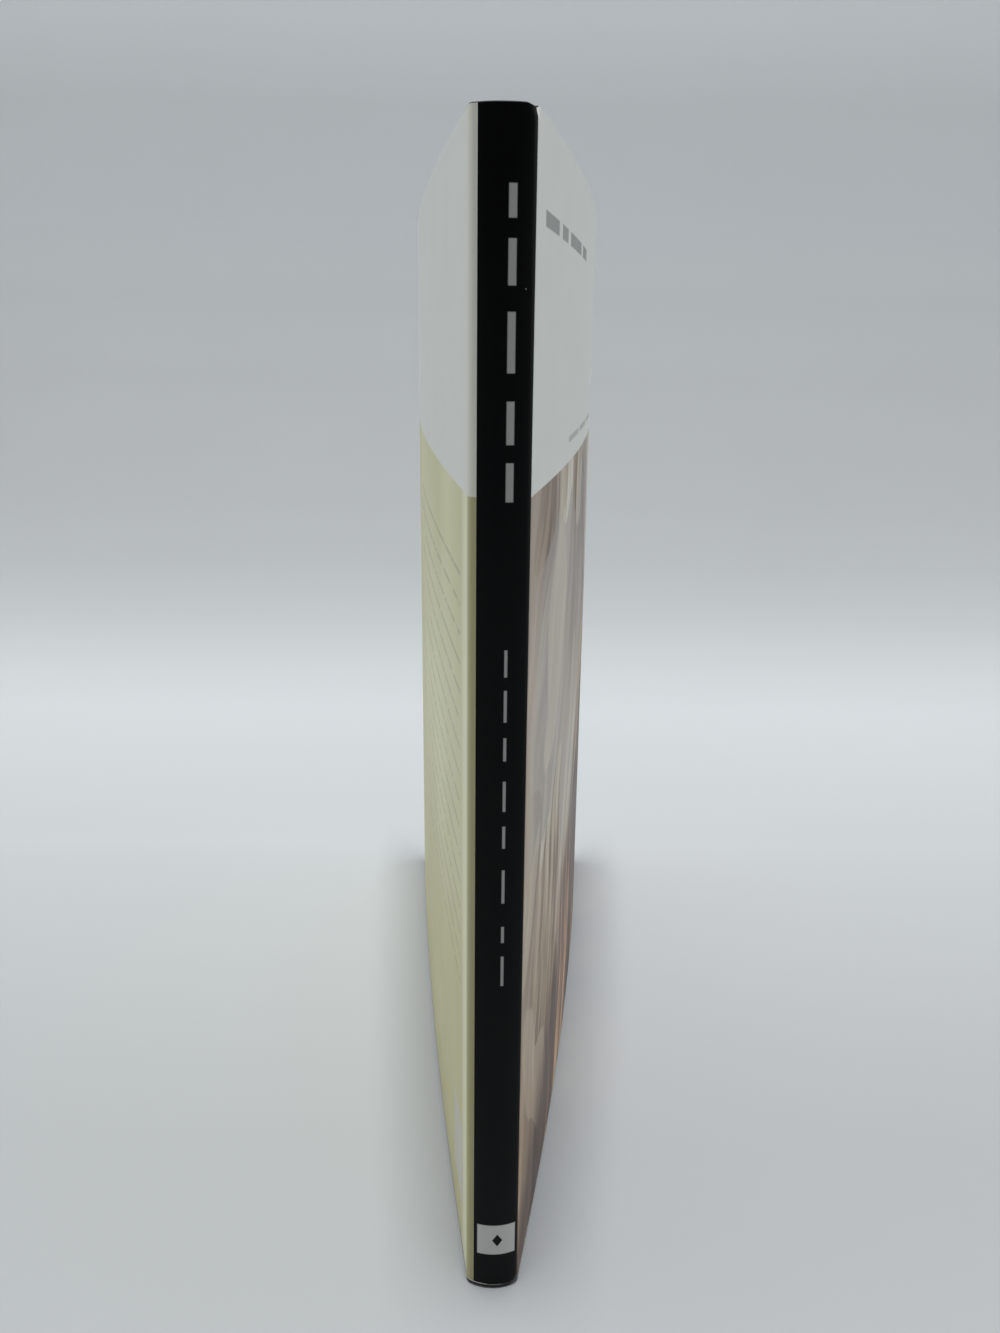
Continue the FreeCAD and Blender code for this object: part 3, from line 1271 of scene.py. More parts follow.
@dataclass(frozen=True)
class BackPrint(JacketSheet):
    """Back panel: white band over pale celadon, faint rules, a plain pale box and painted light by
    the spine.

    Attributes:
        pitch: Distance from rule to rule.
        deepens: Heights from and to which the celadon deepens.
        strip: Distances from the spine at which a painted highlight, a paler strip along the joint,
            comes, and those at which it goes.
        edging: Distances from and to which painted shade, darkening the celadon, comes on the
            shoulder by the spine.
        warms: Distances from and to which painted shade, a little warm, dims the white band at the
            spine.
        column: Box of the rules.
        rule_ends: Distances at which the shortest and the longest rule end.
        label_box: Box of the label.
    """

    name: str = "printed_back"
    slot: str = "jacket_back_print"
    celadon: Colour = srgb(236, 235, 196)
    deep: Colour = srgb(216, 214, 172)
    low: Colour = srgb(208, 202, 156)
    # Colour of the painted highlight along the joint.
    pale: Colour = srgb(245, 243, 214)
    # Celadon darkened as painted shade on the shoulder by the spine.
    olive: Colour = srgb(178, 173, 132)
    # Tint of the painted shade on the white band by the spine.
    cream: Colour = (0.99, 0.955, 0.90)
    rule: Colour = srgb(148, 146, 132)
    label: Colour = srgb(214, 212, 198)
    pitch: float = 5.8 * MM
    deepens: tuple = (104, 56)
    strip: tuple = ((5.5, 8.5), (17, 11))
    edging: tuple = (7.4, 5.0)
    warms: tuple = (16, 5)
    column: tuple = (18, 168, 66, 158)
    rule_ends: tuple = (92, 168)
    label_box: tuple = (14, 30, 12, 32)

    def paint(self, g: Paint) -> None:
        """Paints the celadon, its shades and painted light by the spine, then the rules, the box
        and the band.

        Args:
            g: Graph of the material.
        """
        vector = g.sheet()
        u, v, _ = g.parts(vector)
        out = u * -1.0
        cloud = g.noise(g.stretched(vector, (14.0, 7.0, 1.0)), 1.0, detail=3.0, rough=0.55)
        tone = g.mix(g.span(cloud, *MIDDLE), self.deep, self.celadon)
        tone = g.mix(self.fade(g, v, self.deepens) * 0.75, tone, self.low)
        # Painted highlight: a paler strip along the joint, where the jacket turns from the shoulder
        # onto the cover.
        comes, goes = (self.fade(g, out, places) for places in self.strip)
        tone = g.mix(comes * goes * 0.75, tone, self.pale)
        # Painted shade: the celadon darkens on the shoulder by the spine.
        tone = g.mix(self.fade(g, out, self.edging) * 0.8, tone, self.olive)
        rules = g.effect(Effect.RULES, Run=out, Fall=v, Pitch=self.pitch, Share=0.2, Length=9 * MM)
        ragged = g.noise(g.vector(g.math("FLOOR", v / self.pitch)), 3.7, detail=0.0)
        shortest, longest = (end * MM for end in self.rule_ends)
        short = g.math("LESS_THAN", out, g.span(ragged, *MIDDLE, shortest, longest))
        column = self.window(g, out, v, self.column, soft=0.5) * short
        tone = g.mix(rules["Mask"] * column * 0.5, tone, self.rule)
        tone = g.mix(self.window(g, out, v, self.label_box, soft=0.3), tone, self.label)
        # Painted shade: the white band dimmed and warmed on the shoulder by the spine.
        shade = self.fade(g, out, self.warms)
        paper = g.mix(shade, self.paper(g), self.cream, blend="MULTIPLY")
        self.laminate(g, self.banded(g, tone, paper))


@dataclass(frozen=True)
class SpinePrint(JacketSheet):
    """Spine panel: black, with plain grey bars down it and a pale square near the tail.

    Attributes:
        bold_sides: Left and right of the bold bars.
        bold_bars: Foot and top of each.
        thin_sides: The same for the thin bars.
        thin_bars: The same.
        square_box: Box of the square.
        lozenge: Place of the lozenge in the square.
        lozenge_edge: Half of its width at the start and the end of its soft edge.
        speck: Place of the speck where the ink is chipped.
        speck_r: Its radius.
    """

    name: str = "printed_spine"
    wear: float = 0.3 * MM
    black: Colour = srgb(7, 8, 10)
    bar: Colour = srgb(186, 186, 183)
    thin: Colour = srgb(184, 184, 182)
    square: Colour = srgb(218, 219, 214)
    bold_sides: tuple = (0.95, 2.25)
    bold_bars: tuple = ((213.5, 218.5), (203.5, 210.5), (190, 199.5), (178.5, 185.5), (169, 175.5))
    thin_sides: tuple = (1.05, 1.6)
    thin_bars: tuple = (
        (138, 143), (129.5, 135.5), (122, 126.5), (112, 118), (104.5, 109), (93, 100), (84.5, 88),
        (75, 81.5),
    )
    square_box: tuple = (-3.3, 4.9, 9.2, 16.8)
    lozenge: tuple = (1.0, 12.9)
    lozenge_edge: tuple = (1.0, 1.2)
    speck: tuple = (3.9, 203)
    speck_r: float = 0.12

    def paint(self, g: Paint) -> None:
        """Paints the black, the bars, the square with its lozenge, and a speck.

        Args:
            g: Graph of the material.
        """
        vector = g.sheet()
        u, v, _ = g.parts(vector)
        ink = g.mix(g.noise(vector, 45.0, detail=3.0), dimmed(self.black, 0.6), self.black)
        for bars, sides, soft, colour in (
            (self.bold_bars, self.bold_sides, 0.2, self.bar),
            (self.thin_bars, self.thin_sides, 0.15, self.thin),
        ):
            for bar in bars:
                ink = g.mix(self.window(g, u, v, (*sides, *bar), soft), ink, colour)
        square = self.window(g, u, v, self.square_box, soft=0.2)
        across, up = (abs(run - place * MM) for run, place in zip((u, v), self.lozenge))
        inner, outer = (place * MM for place in self.lozenge_edge)
        lozenge = g.span(across + up * 0.7, inner, outer, to_low=1.0, to_high=0.0)
        ink = g.mix(square * (1.0 - lozenge), ink, self.square)
        across, up = (run - place * MM for run, place in zip((u, v), self.speck))
        speck = g.math("LESS_THAN", across * across + up * up, (self.speck_r * MM) ** 2)
        self.laminate(g, g.mix(speck * 0.35, ink, self.core))


@dataclass(frozen=True)
class FrontPrint(JacketSheet):
    """Front panel: white band over broad soft folds of taupe, cream and violet-grey.

    Attributes:
        sway: How far the folds wander sideways.
        lean: How far they lean for each step up.
        drapes: Pale folds over the others: where each starts, its colour and its strength.
        by_spine: Distances from and to which the folds pale at the spine.
        warms: Heights from and to which they darken and warm.
        ember_foot: Height of the ember tones at the spine.
        ember_rise: How far that height rises for each step away from it.
        ember_sway: How far it wanders.
        ember_edge: Drops below that height from and to which the ember tones come.
        marks: Plain bars: left, right, bottom, top and strength of each.
    """

    name: str = "printed_front"
    slot: str = "jacket_front_print"
    deep: Colour = srgb(122, 104, 90)
    taupe: Colour = srgb(166, 149, 130)
    beige: Colour = srgb(196, 180, 158)
    violet: Colour = srgb(178, 168, 162)
    cream: Colour = srgb(212, 202, 184)
    light: Colour = srgb(238, 233, 222)
    near: Colour = srgb(206, 190, 168)
    glow: Colour = srgb(226, 190, 152)
    clay: Colour = srgb(178, 134, 106)
    rust: Colour = srgb(122, 98, 86)
    umber: Colour = srgb(86, 70, 66)
    warmth: Colour = (0.90, 0.80, 0.72)
    rule: Colour = srgb(74, 74, 76)
    sway: float = 70 * MM
    lean: float = -0.34
    drapes: tuple = (
        (0.53, None, 0.8), (0.56, srgb(176, 166, 162), 0.6), (0.58, srgb(222, 212, 194), 0.5),
    )
    by_spine: tuple = (30, 10)
    warms: tuple = (90, 25)
    ember_foot: float = 12 * MM
    ember_rise: float = 0.60
    ember_sway: float = 60 * MM
    ember_edge: tuple = (-14, 10)
    marks: tuple = (
        (16, 34, 213.4, 216.0, 0.6), (39, 49, 213.4, 216.0, 0.6), (54, 80, 213.4, 216.0, 0.6),
        (85, 98, 213.4, 216.0, 0.6), (62, 88, 173.9, 175.2, 0.4), (93, 118, 173.9, 175.2, 0.4),
        (124, 148, 173.9, 175.2, 0.4),
    )

    def paint(self, g: Paint) -> None:
        """Paints the folds, the pale drapes, the warm foot, the band and the bars.

        Args:
            g: Graph of the material.
        """
        vector = g.sheet()
        u, v, _ = g.parts(vector)
        bent = g.noise(g.stretched(vector, (10.0, 12.0, 1.0)), 1.0)
        slant = u + (bent - 0.5) * self.sway + v * self.lean
        fold = g.vector(slant * 20.0, v * 9.0)
        broad = g.noise(fold, 1.0, detail=1.0, rough=0.4)
        fine = g.noise(g.stretched(fold, (6.5, 1.9, 1.0)), 1.0, detail=3.0, rough=0.6)
        share = g.span(broad * 0.5 + fine * 0.5, 0.39, 0.61)
        folds = [(0.0, self.deep), (0.35, self.taupe), (0.6, self.beige), (1.0, self.cream)]
        cloth = g.ramp(share, folds)
        pale = g.ramp(share, [(0.0, self.violet), (0.5, self.cream), (1.0, self.light)])
        for turn, (start, colour, weight) in enumerate(self.drapes):
            spread = g.stretched(fold, (1.0, 1.3, 1.0), shift=7.3 * turn + 2.1)
            edge = g.span(g.noise(spread, 1.0, detail=1.0, rough=0.35), start, start + 0.006)
            cloth = g.mix(edge * weight, cloth, colour or pale)
        cloth = g.mix(self.fade(g, u, self.by_spine) * 0.45, cloth, self.near)
        low = u * self.ember_rise + self.ember_foot - v + (broad - 0.5) * self.ember_sway
        embers = [(0.0, self.umber), (0.55, self.rust), (0.8, self.clay), (1.0, self.glow)]
        cloth = g.mix(self.fade(g, v, self.warms), cloth, self.warmth, blend="MULTIPLY")
        cloth = g.mix(self.fade(g, low, self.ember_edge) * 0.9, cloth, g.ramp(share, embers))
        ink = self.banded(g, cloth, self.paper(g))
        for *box, weight in self.marks:
            ink = g.mix(self.window(g, u, v, box, soft=0.3) * weight, ink, self.rule)
        self.laminate(g, ink)


JACKET_REVERSE = Stock("jacket_reverse", srgb(218, 219, 215), srgb(206, 207, 202), mapped=True)
JACKET_CORE = Stock("jacket_cut_edge", srgb(226, 225, 219), srgb(206, 204, 196), mapped=True)
ENDPAPER = Stock(
    "endpaper_wove", srgb(224, 222, 214), srgb(212, 209, 200), relief=0.04 * MM, mapped=True
)
GREYBOARD = FleckedBoard("greyboard", srgb(152, 147, 138), srgb(126, 121, 112), fineness=1800.0)
SPINE_CARD = FleckedBoard("spine_card", srgb(176, 160, 134), srgb(150, 134, 108), fineness=2200.0)
LINING = Stock("kraft_lining", srgb(178, 146, 104), srgb(150, 118, 80))


# ---- Sub-assemblies ----------------------------------------------


def report(piece: bpy.types.Object) -> None:
    """Logs a finished piece."""
    mesh = piece.data
    LOG.info("%s: %d vertices, %d faces", piece.name, len(mesh.vertices), len(mesh.polygons))


def dress_node(node: str, finish: Finish) -> None:
    """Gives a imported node, which keeps its shape, its finish.

    Args:
        node: Name of the node.
        finish: Its finish.
    """
    materials = frame["nodes"][node].data.materials
    materials.clear()
    materials.append(material_of(finish))
    LOG.info("%s: packed shape, finish %s", node, finish.name)


@dataclass
class DustJacket:
    """The printed jacket: spine panel, two sides and the flaps folded in round the fore-edges.

    Attributes:
        black_left: Distance of the black panel's back edge from the middle of the spine.
        black_right: Distance of its front edge from there.
        fold_r: Outside radius of the folds at the fore-edge.
        flap: Width of a flap.
        bend: Half of the distance beyond the hinge line at which a side's sweep takes a stop.
        even_rows: Number of even steps in a column.
        close_rows: Distances of closer points from the head and the tail.
        sharp: Angle in degrees above which an edge stays sharp.
    """

    spine: SpinePlan
    covers: dict[Side, CoverPlan]
    black_left: float = 4.0 * MM
    black_right: float = 5.3 * MM
    fold_r: float = 0.5 * MM
    flap: float = 88.0 * MM
    bend: float = 4.2 * MM
    even_rows: int = 24
    close_rows: tuple = (0.5 * MM, 1.1 * MM, 1.8 * MM, 2.7 * MM, 3.8 * MM)
    sharp: float = 35.0

    @property
    def left_angle(self) -> float:
        """Angle of the black panel's back edge on the rounded back."""
        return math.asin(self.black_left / self.spine.back_r)

    @property
    def right_angle(self) -> float:
        """Angle of the black panel's front edge on the front shoulder."""
        return math.asin((self.black_right - self.spine.shoulder_x) / self.spine.shoulder_r)

    @property
    def right_u(self) -> float:
        """U of the black panel's front edge."""
        back = self.spine.back_r * self.spine.back_half
        return back + self.spine.shoulder_r * (self.right_angle - self.spine.back_half)

    def sweep(self, name: str, start: Vector) -> UprightSheet:
        """Sets up the column of a jacket piece.

        Args:
            name: Name of the piece.
            start: First point of its path.

        Returns:
            The sheet.
        """
        low, high = ends("jacket_spine")
        extra = margins(low, high, self.close_rows)
        return UprightSheet(name, start, rows(low, high, self.even_rows, extra))

    def finished(
        self, sheet: UprightSheet, start: float, print_on: JacketSheet, dented: bool = True
    ) -> bpy.types.Object:
        """Maps a swept piece of the jacket and makes it up.

        Args:
            sheet: The swept sheet.
            start: U at its first column.
            print_on: Its print.
            dented: Whether it reaches the soft corners.

        Returns:
            The piece.
        """
        sheet.map_from(start)
        corners = self.spine.soft_corners if dented else ()
        finishes = (print_on, JACKET_REVERSE, JACKET_CORE)
        return sheet.make_up(LAYERS.jacket, *finishes, corners=corners, sharp=self.sharp)

    def build_spine(self) -> None:
        """Sweeps the black spine panel from the front shoulder to the back."""
        plan, right = self.spine, self.right_angle
        sheet = self.sweep("jacket_spine_panel", plan.on_shoulder(Side.FRONT, 0.0, right))
        sheet.turn(plan.shoulder_centre(Side.FRONT), right - plan.back_half, steps=8)
        sheet.turn(plan.back_centre, plan.back_half + self.left_angle, steps=22)
        piece = self.finished(sheet, self.right_u, SpinePrint())
        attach(piece, ROOT)
        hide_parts("jacket_spine")
        report(piece)

    def build_front(self) -> None:
        """Sweeps the front side from the edge of its flap to the black panel."""
        cover, plan = self.covers[Side.FRONT], self.spine
        at, face, fold = cover.point, LAYERS.under_flap, cover.reach - self.fold_r
        sheet = self.sweep("jacket_front_panel", at(face, cover.reach - self.flap))
        sheet.turn_to(cover.centre, at(face, fold), steps=14, clockwise=False)
        sheet.fold_over(cover, cover.reach, fold, (face, 0.0), self.fold_r, steps=(5, 3))
        sheet.turn_to(cover.centre, at(0, 2 * self.bend), steps=26)
        sheet.turn_to(cover.centre, at(0, 0), steps=28)
        sheet.run_to(plan.on_shoulder(Side.FRONT, 0.0, math.pi / 2), steps=2)
        sheet.turn(plan.shoulder_centre(Side.FRONT), math.pi / 2 - self.right_angle, steps=10)
        piece = self.finished(sheet, self.right_u + sheet.travelled, FrontPrint())
        self.hang(piece, Side.FRONT)

    def build_back(self) -> None:
        """Sweeps the back side from the black panel to the edge of its flap."""
        cover, plan = self.covers[Side.BACK], self.spine
        at, face, fold = cover.point, LAYERS.under_flap, cover.reach - self.fold_r
        sheet = self.sweep("jacket_back_panel", plan.on_back(0, -self.left_angle))
        sheet.turn(plan.back_centre, plan.back_half - self.left_angle, steps=3)
        sheet.turn(plan.shoulder_centre(Side.BACK), math.pi / 2 - plan.back_half, steps=14)
        sheet.run_to(at(0, 0), steps=2)
        sheet.turn_to(cover.centre, at(0, 2 * self.bend), steps=28)
        sheet.turn_to(cover.centre, at(0, fold), steps=26)
        sheet.fold_over(cover, cover.reach, fold, (0.0, face), self.fold_r, steps=(5, 3))
        sheet.turn_to(cover.centre, at(face, cover.reach - self.flap), steps=14, clockwise=False)
        left_u = -plan.back_r * self.left_angle
        piece = self.finished(sheet, left_u, BackPrint(), dented=False)
        self.hang(piece, Side.BACK)

    def hang(self, piece: bpy.types.Object, side: Side) -> None:
        """Sets one side of the jacket in place of its imported node, which it hides.

        Args:
            piece: The side's piece.
            side: The side.
        """
        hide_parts(f"jacket_{side.word}")
        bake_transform(piece)
        report(piece)


@dataclass
class Case:
    """The hard case under the jacket: dark paper round the spine card and the two boards.

    Attributes:
        groove_x: Distance of the groove's outer face from the middle of the spine.
        groove_r: Outside radius at the bottom of the groove.
        groove_end: Distance of the end of the groove from the crest of the spine.
        flank: Way the paper leaves the shoulder, a right angle being straight back.
        corner_r: Rounding of the paper over the boards' edges.
        bevel: Bevel of the paper at the head and the tail of a board.
        lip: Rounding of the paper over the head and the tail of the spine card.
        lip_drop: Height at which the paper lies flat inside the spine card.
        lip_spare: Width beyond the rounded back that still turns in with it.
        inside_steps: Parts of a board's inside, from the joint to the turn-in and across it.
        even_rows: Number of even steps in a column.
        close_rows: Distances of closer points from the head and the tail.
    """

    spine: SpinePlan
    covers: dict[Side, CoverPlan]
    groove_x: float = 3.25 * MM
    groove_r: float = 0.8 * MM
    groove_end: float = 7.11 * MM
    flank: float = math.radians(140.0)
    corner_r: float = 0.35 * MM
    bevel: float = 0.25 * MM
    lip: float = 0.12 * MM
    lip_drop: float = 0.25 * MM
    lip_spare: float = 0.05 * MM
    inside_steps: tuple = (22, 2)
    even_rows: int = 12
    close_rows: tuple = (0.25 * MM, 1.1 * MM, 1.9 * MM, 2.8 * MM, 3.8 * MM)

    def groove(self, side: Side) -> tuple[Vector, Vector, Vector]:
        """Plan of the bend at the bottom of a groove.

        Args:
            side: The groove's side.

        Returns:
            The centre of the bend, its end on the groove's bottom and its end on the flank.
        """
        plan, flank = self.spine, self.flank
        reach = plan.shoulder_r - LAYERS.jacket
        leave = Vector((plan.shoulder_x + reach * math.sin(flank), -reach * math.cos(flank), 0))
        way = Vector((math.cos(flank), math.sin(flank), 0))
        corner = leave + way * ((self.groove_x - leave.x) / way.x)
        tangent = self.groove_r * math.tan((flank - math.pi / 2) / 2)
        foot = corner + Vector((0, tangent, 0))
        places = (foot + Vector((self.groove_r, 0, 0)), foot, corner - way * tangent)
        shift = Vector((plan.middle_x, plan.shoulder_y, 0))
        return tuple(Vector((p.x * side.value, p.y, 0)) + shift for p in places)

    def build_spine(self) -> None:
        """Sweeps the spine of the case from groove to groove and turns it in at head and tail."""
        plan, flank = self.spine, self.flank
        low, high = ends("case_spine")
        column = rows(low, high, self.even_rows, margins(low, high, self.close_rows))
        first, last = (plan.at(side, self.groove_x, self.groove_end) for side in Side)
        (front, foot, _), (back, _, start) = (self.groove(side) for side in Side)
        sheet = UprightSheet("case_spine_wrap", first, column)
        sheet.run_to(foot, steps=3)
        sheet.turn(front, math.pi / 2 - flank, steps=5)
        sheet.run_to(plan.on_shoulder(Side.FRONT, LAYERS.jacket, flank), steps=2)
        sheet.turn(plan.shoulder_centre(Side.FRONT), flank - plan.back_half, steps=12)
        sheet.turn(plan.back_centre, 2 * plan.back_half, steps=20)
        sheet.turn(plan.shoulder_centre(Side.BACK), flank - plan.back_half, steps=12)
        sheet.run_to(start, steps=2)
        sheet.turn(back, math.pi / 2 - flank, steps=5)
        sheet.run_to(last, steps=3)
        self.turn_in_ends(sheet)
        piece = sheet.make_up(LAYERS.case_paper, CasePaper(), corners=plan.soft_corners)
        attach(piece, ROOT)
        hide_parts("case_spine")
        report(piece)

    def turn_in_ends(self, sheet: UprightSheet) -> None:
        """Folds the paper over the head and tail of the spine card and down inside it.

        Args:
            sheet: The swept paper, in edit mode.
        """
        plan, centre = self.spine, self.spine.back_centre
        outer = plan.back_r - LAYERS.jacket
        inner = plan.back_r - LAYERS.under_case - LAYERS.spine_card - LAYERS.case_paper
        limit = outer * math.sin(plan.back_half) + self.lip_spare

        def over_card(point: Vector) -> bool:
            """Whether a point lies over the spine card."""
            return abs(point.x - plan.middle_x) < limit and point.y < plan.shoulder_y

        def outside(point: Vector) -> bool:
            """Whether a point lies on the outside of the rounded back."""
            return abs((flat(point) - centre).length - outer) < 2 * WELD

        for end, inwards in zip(sheet.ends, (1, -1)):
            level = at_height(end)
            sheet.pick(Part.EDGE, lambda a, b: level(a, b) and over_card(a) and over_card(b))
            reach, height = outer, end
            for next_r, next_z in (
                ((outer + inner) / 2, end),
                (inner + self.lip, end),
                (inner, end + inwards * self.lip_drop),
                (inner, end + inwards * LAYERS.turn_in),
            ):
                extrude((0, 0, next_z - height))
                share = next_r / reach
                bpy.ops.transform.resize(value=(share, share, 1), center_override=centre)
                reach, height = next_r, next_z
            sheet.pick(Part.VERT, lambda p: level(p) and over_card(p) and outside(p))
            share = (outer - self.lip) / outer
            bpy.ops.transform.resize(value=(share, share, 1), center_override=centre)

    def build_board_wrap(self, side: Side) -> None:
        """Models the paper round one board, with a window inside where no turn-in lies.

        Args:
            side: The cover.
        """
        cover, r = self.covers[side], self.corner_r
        low, high = ends("case_spine")
        top, bottom, hem = LAYERS.jacket, LAYERS.under_turn_in, LAYERS.turn_in
        near, far = cover.joint - LAYERS.case_paper, cover.reach - LAYERS.jacket
        window = far - LAYERS.case_paper - hem
        inside = {near: near + r, far: far - r}
        first, last = (far, near) if side is Side.FRONT else (near, far)
        steps = self.inside_steps[:: 1 if last == near else -1]
        column = rows(low, high, self.even_rows, margins(low, high, (hem,)))
        sheet = UprightSheet(f"case_{side.word}_wrap", cover.point(top, inside[first]), column)
        sheet.turn_to(cover.centre, cover.point(top, inside[last]), steps=24)
        sheet.fold_over(cover, last, inside[last], (top, bottom), r, steps=(4, 2))
        for along, count in zip((window, inside[first]), steps):
            sheet.turn_to(cover.centre, cover.point(bottom, along), count, clockwise=False)
        sheet.fold_over(cover, first, inside[first], (bottom, top), r, steps=(4, 2))
        sheet.cap()
        rims = [at_height(end) for end in sheet.ends]
        sheet.pick(Part.EDGE, lambda a, b: any(rim(a, b) for rim in rims))
        bpy.ops.mesh.bevel(offset=self.bevel, segments=3, affect="EDGES")
        start, stop = (cover.point(bottom, along).y for along in (near + 1.5 * r, window))
        facing = cover.facing
        sheet.pick(
            Part.FACE,
            lambda c, n: n.dot(facing) < -FACING
            and start < c.y < stop
            and low + hem < c.z < high - hem,
        )
        bpy.ops.mesh.delete(type="FACE")
        piece = sheet.make_up(LAYERS.case_paper, CasePaper())
        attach(piece, side.body)
        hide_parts(f"case_{side.word}")
        report(piece)

    def dress_boards(self) -> None:
        """Dresses the boards and the spine card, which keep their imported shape."""
        dress_node("front_board", GREYBOARD)
        dress_node("back_board", GREYBOARD)
        dress_node("spine_card", SPINE_CARD)


@dataclass
class BookBlock:
    """The pages with their bands and linings.

    Attributes:
        pages_r: Radius of the rounded back of the pages.
        leaf_steps: Packs of leaves that stand back at the fore-edge: start and stop as shares of
            the thickness, and how far they stand back, in millimetres.
        tongue_r: Radius of the outside of a band's tongue.
        tongue: Length of a band's tongue.
        bead_r: Radius of a band's bead.
        bead_rise: Centre of the bead beyond the edge of the pages.
        bead_set_in: Centre of the bead in from the back of the pages.
        bead_turns: Half turns of the thread round the bead.
        bead_pinch: Share to which the bead narrows between two turns.
    """

    spine: SpinePlan
    pages_r: float = 7.976 * MM
    leaf_steps: tuple = (
        (0.06, 0.15, 0.05), (0.3, 0.36, 0.03), (0.42, 0.55, 0.07), (0.7, 0.74, 0.04),
        (0.83, 0.93, 0.05),
    )
    tongue_r: float = 8.176 * MM
    tongue: float = 9.0 * MM
    bead_r: float = 0.78 * MM
    bead_rise: float = 0.5 * MM
    bead_set_in: float = 0.6 * MM
    bead_turns: int = 26
    bead_pinch: float = 0.93

    def build_pages(self) -> None:
        """Sweeps the outline of the pages, closes head and tail, and steps the leaves."""
        plan, middle = self.spine, self.spine.middle_x
        corner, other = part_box("text_block")
        half, fore = (other.x - corner.x) / 2, other.y
        sagitta = math.sqrt(self.pages_r**2 - half**2)
        back = plan.back_centre.y - sagitta
        right, left = middle + half, middle - half
        column = rows(*ends("text_block"), count=8)
        sheet = UprightSheet("pages", Vector((right, fore, 0)), column)
        sheet.run_to(Vector((right, back, 0)), steps=16)
        sheet.turn_to(plan.back_centre, Vector((left, back, 0)), steps=18)
        sheet.run_to(Vector((left, fore, 0)), steps=16)
        hollow = Vector((middle, fore + sagitta, 0))
        sheet.turn_to(hollow, Vector((right, fore, 0)), steps=46, clockwise=False)
        sheet.cap()
        for start, stop, step in self.leaf_steps:
            near, far = left + 2 * half * start, left + 2 * half * stop
            sheet.pick(Part.FACE, lambda c, n: n.y > FACING and near < c.x < far)
            bpy.ops.transform.translate(value=(0, -step * MM, 0))
        sheet.smooth(sharp=20)
        sheet.dress(LeafEdges())
        piece = sheet.obj
        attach(piece, ROOT)
        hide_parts("text_block")
        report(piece)

    def build_band(self, node: str, end: End) -> None:
        """Winds the bead of a band and glues its tongue down the back of the pages.

        Args:
            node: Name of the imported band.
            end: The end of the pages that it is on.
        """
        low, high = ends("text_block")
        edge = high if end is End.HEAD else low
        height = edge + end.value * self.bead_rise
        tongue = self.cut_tongue(node, *sorted((edge - end.value * self.tongue, height)))
        bead = self.wind_bead(node, height)
        bead.take()
        tongue.obj.select_set(True)
        bpy.ops.object.join()
        bead.smooth(sharp=60)
        piece = bead.obj
        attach(piece, ROOT)
        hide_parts(node)
        report(piece)

    def cut_tongue(self, node: str, low: float, high: float) -> UprightSheet:
        """Sweeps the tongue of a band round the back of the pages.

        Args:
            node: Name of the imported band.
            low: Foot of the tongue.
            high: Top of the tongue.

        Returns:
            The tongue.
        """
        plan = self.spine
        corner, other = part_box("text_block")
        half_angle = math.asin((other.x - corner.x) / 2 / self.tongue_r)
        start = plan.on_back(plan.back_r - self.tongue_r, half_angle)
        tongue = UprightSheet(node + "_tongue", start, rows(low, high, count=6))
        tongue.turn(plan.back_centre, 2 * half_angle, steps=10)
        tongue.thicken(self.tongue_r - self.pages_r, WovenThread())
        return tongue

    def wind_bead(self, node: str, height: float) -> Workpiece:
        """Winds the thread of a band across the back of the pages.

        Args:
            node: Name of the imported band.
            height: Height of the bead's centre.

        Returns:
            The bead.
        """
        corner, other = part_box("text_block")
        step = (other.x - corner.x) / self.bead_turns
        y = self.spine.back_centre.y - self.pages_r + self.bead_set_in
        deselect()
        bpy.ops.mesh.primitive_circle_add(
            vertices=20, radius=self.bead_r, fill_type="NGON", location=(corner.x, y, height),
            rotation=(0, math.pi / 2, 0),
        )
        bead = Workpiece(node + "_thread")
        bead.edit()
        bpy.ops.mesh.select_all(action="SELECT")
        for turn in range(self.bead_turns):
            extrude((step, 0, 0))
            share = self.bead_pinch if turn % 2 == 0 else 1 / self.bead_pinch
            centre = (corner.x + step * (turn + 1), y, height)
            bpy.ops.transform.resize(value=(1, share, share), center_override=centre)
        bpy.ops.mesh.select_all(action="SELECT")
        bpy.ops.mesh.normals_make_consistent(inside=False)
        bpy.ops.object.mode_set(mode="OBJECT")
        bead.dress(WovenThread())
        return bead

    def dress_linings(self) -> None:
        """Dresses the lining and the mull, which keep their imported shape."""
        dress_node("spine_lining", LINING)
        for node in ("mull_spine", "mull_front", "mull_back"):
            dress_node(node, Gauze())


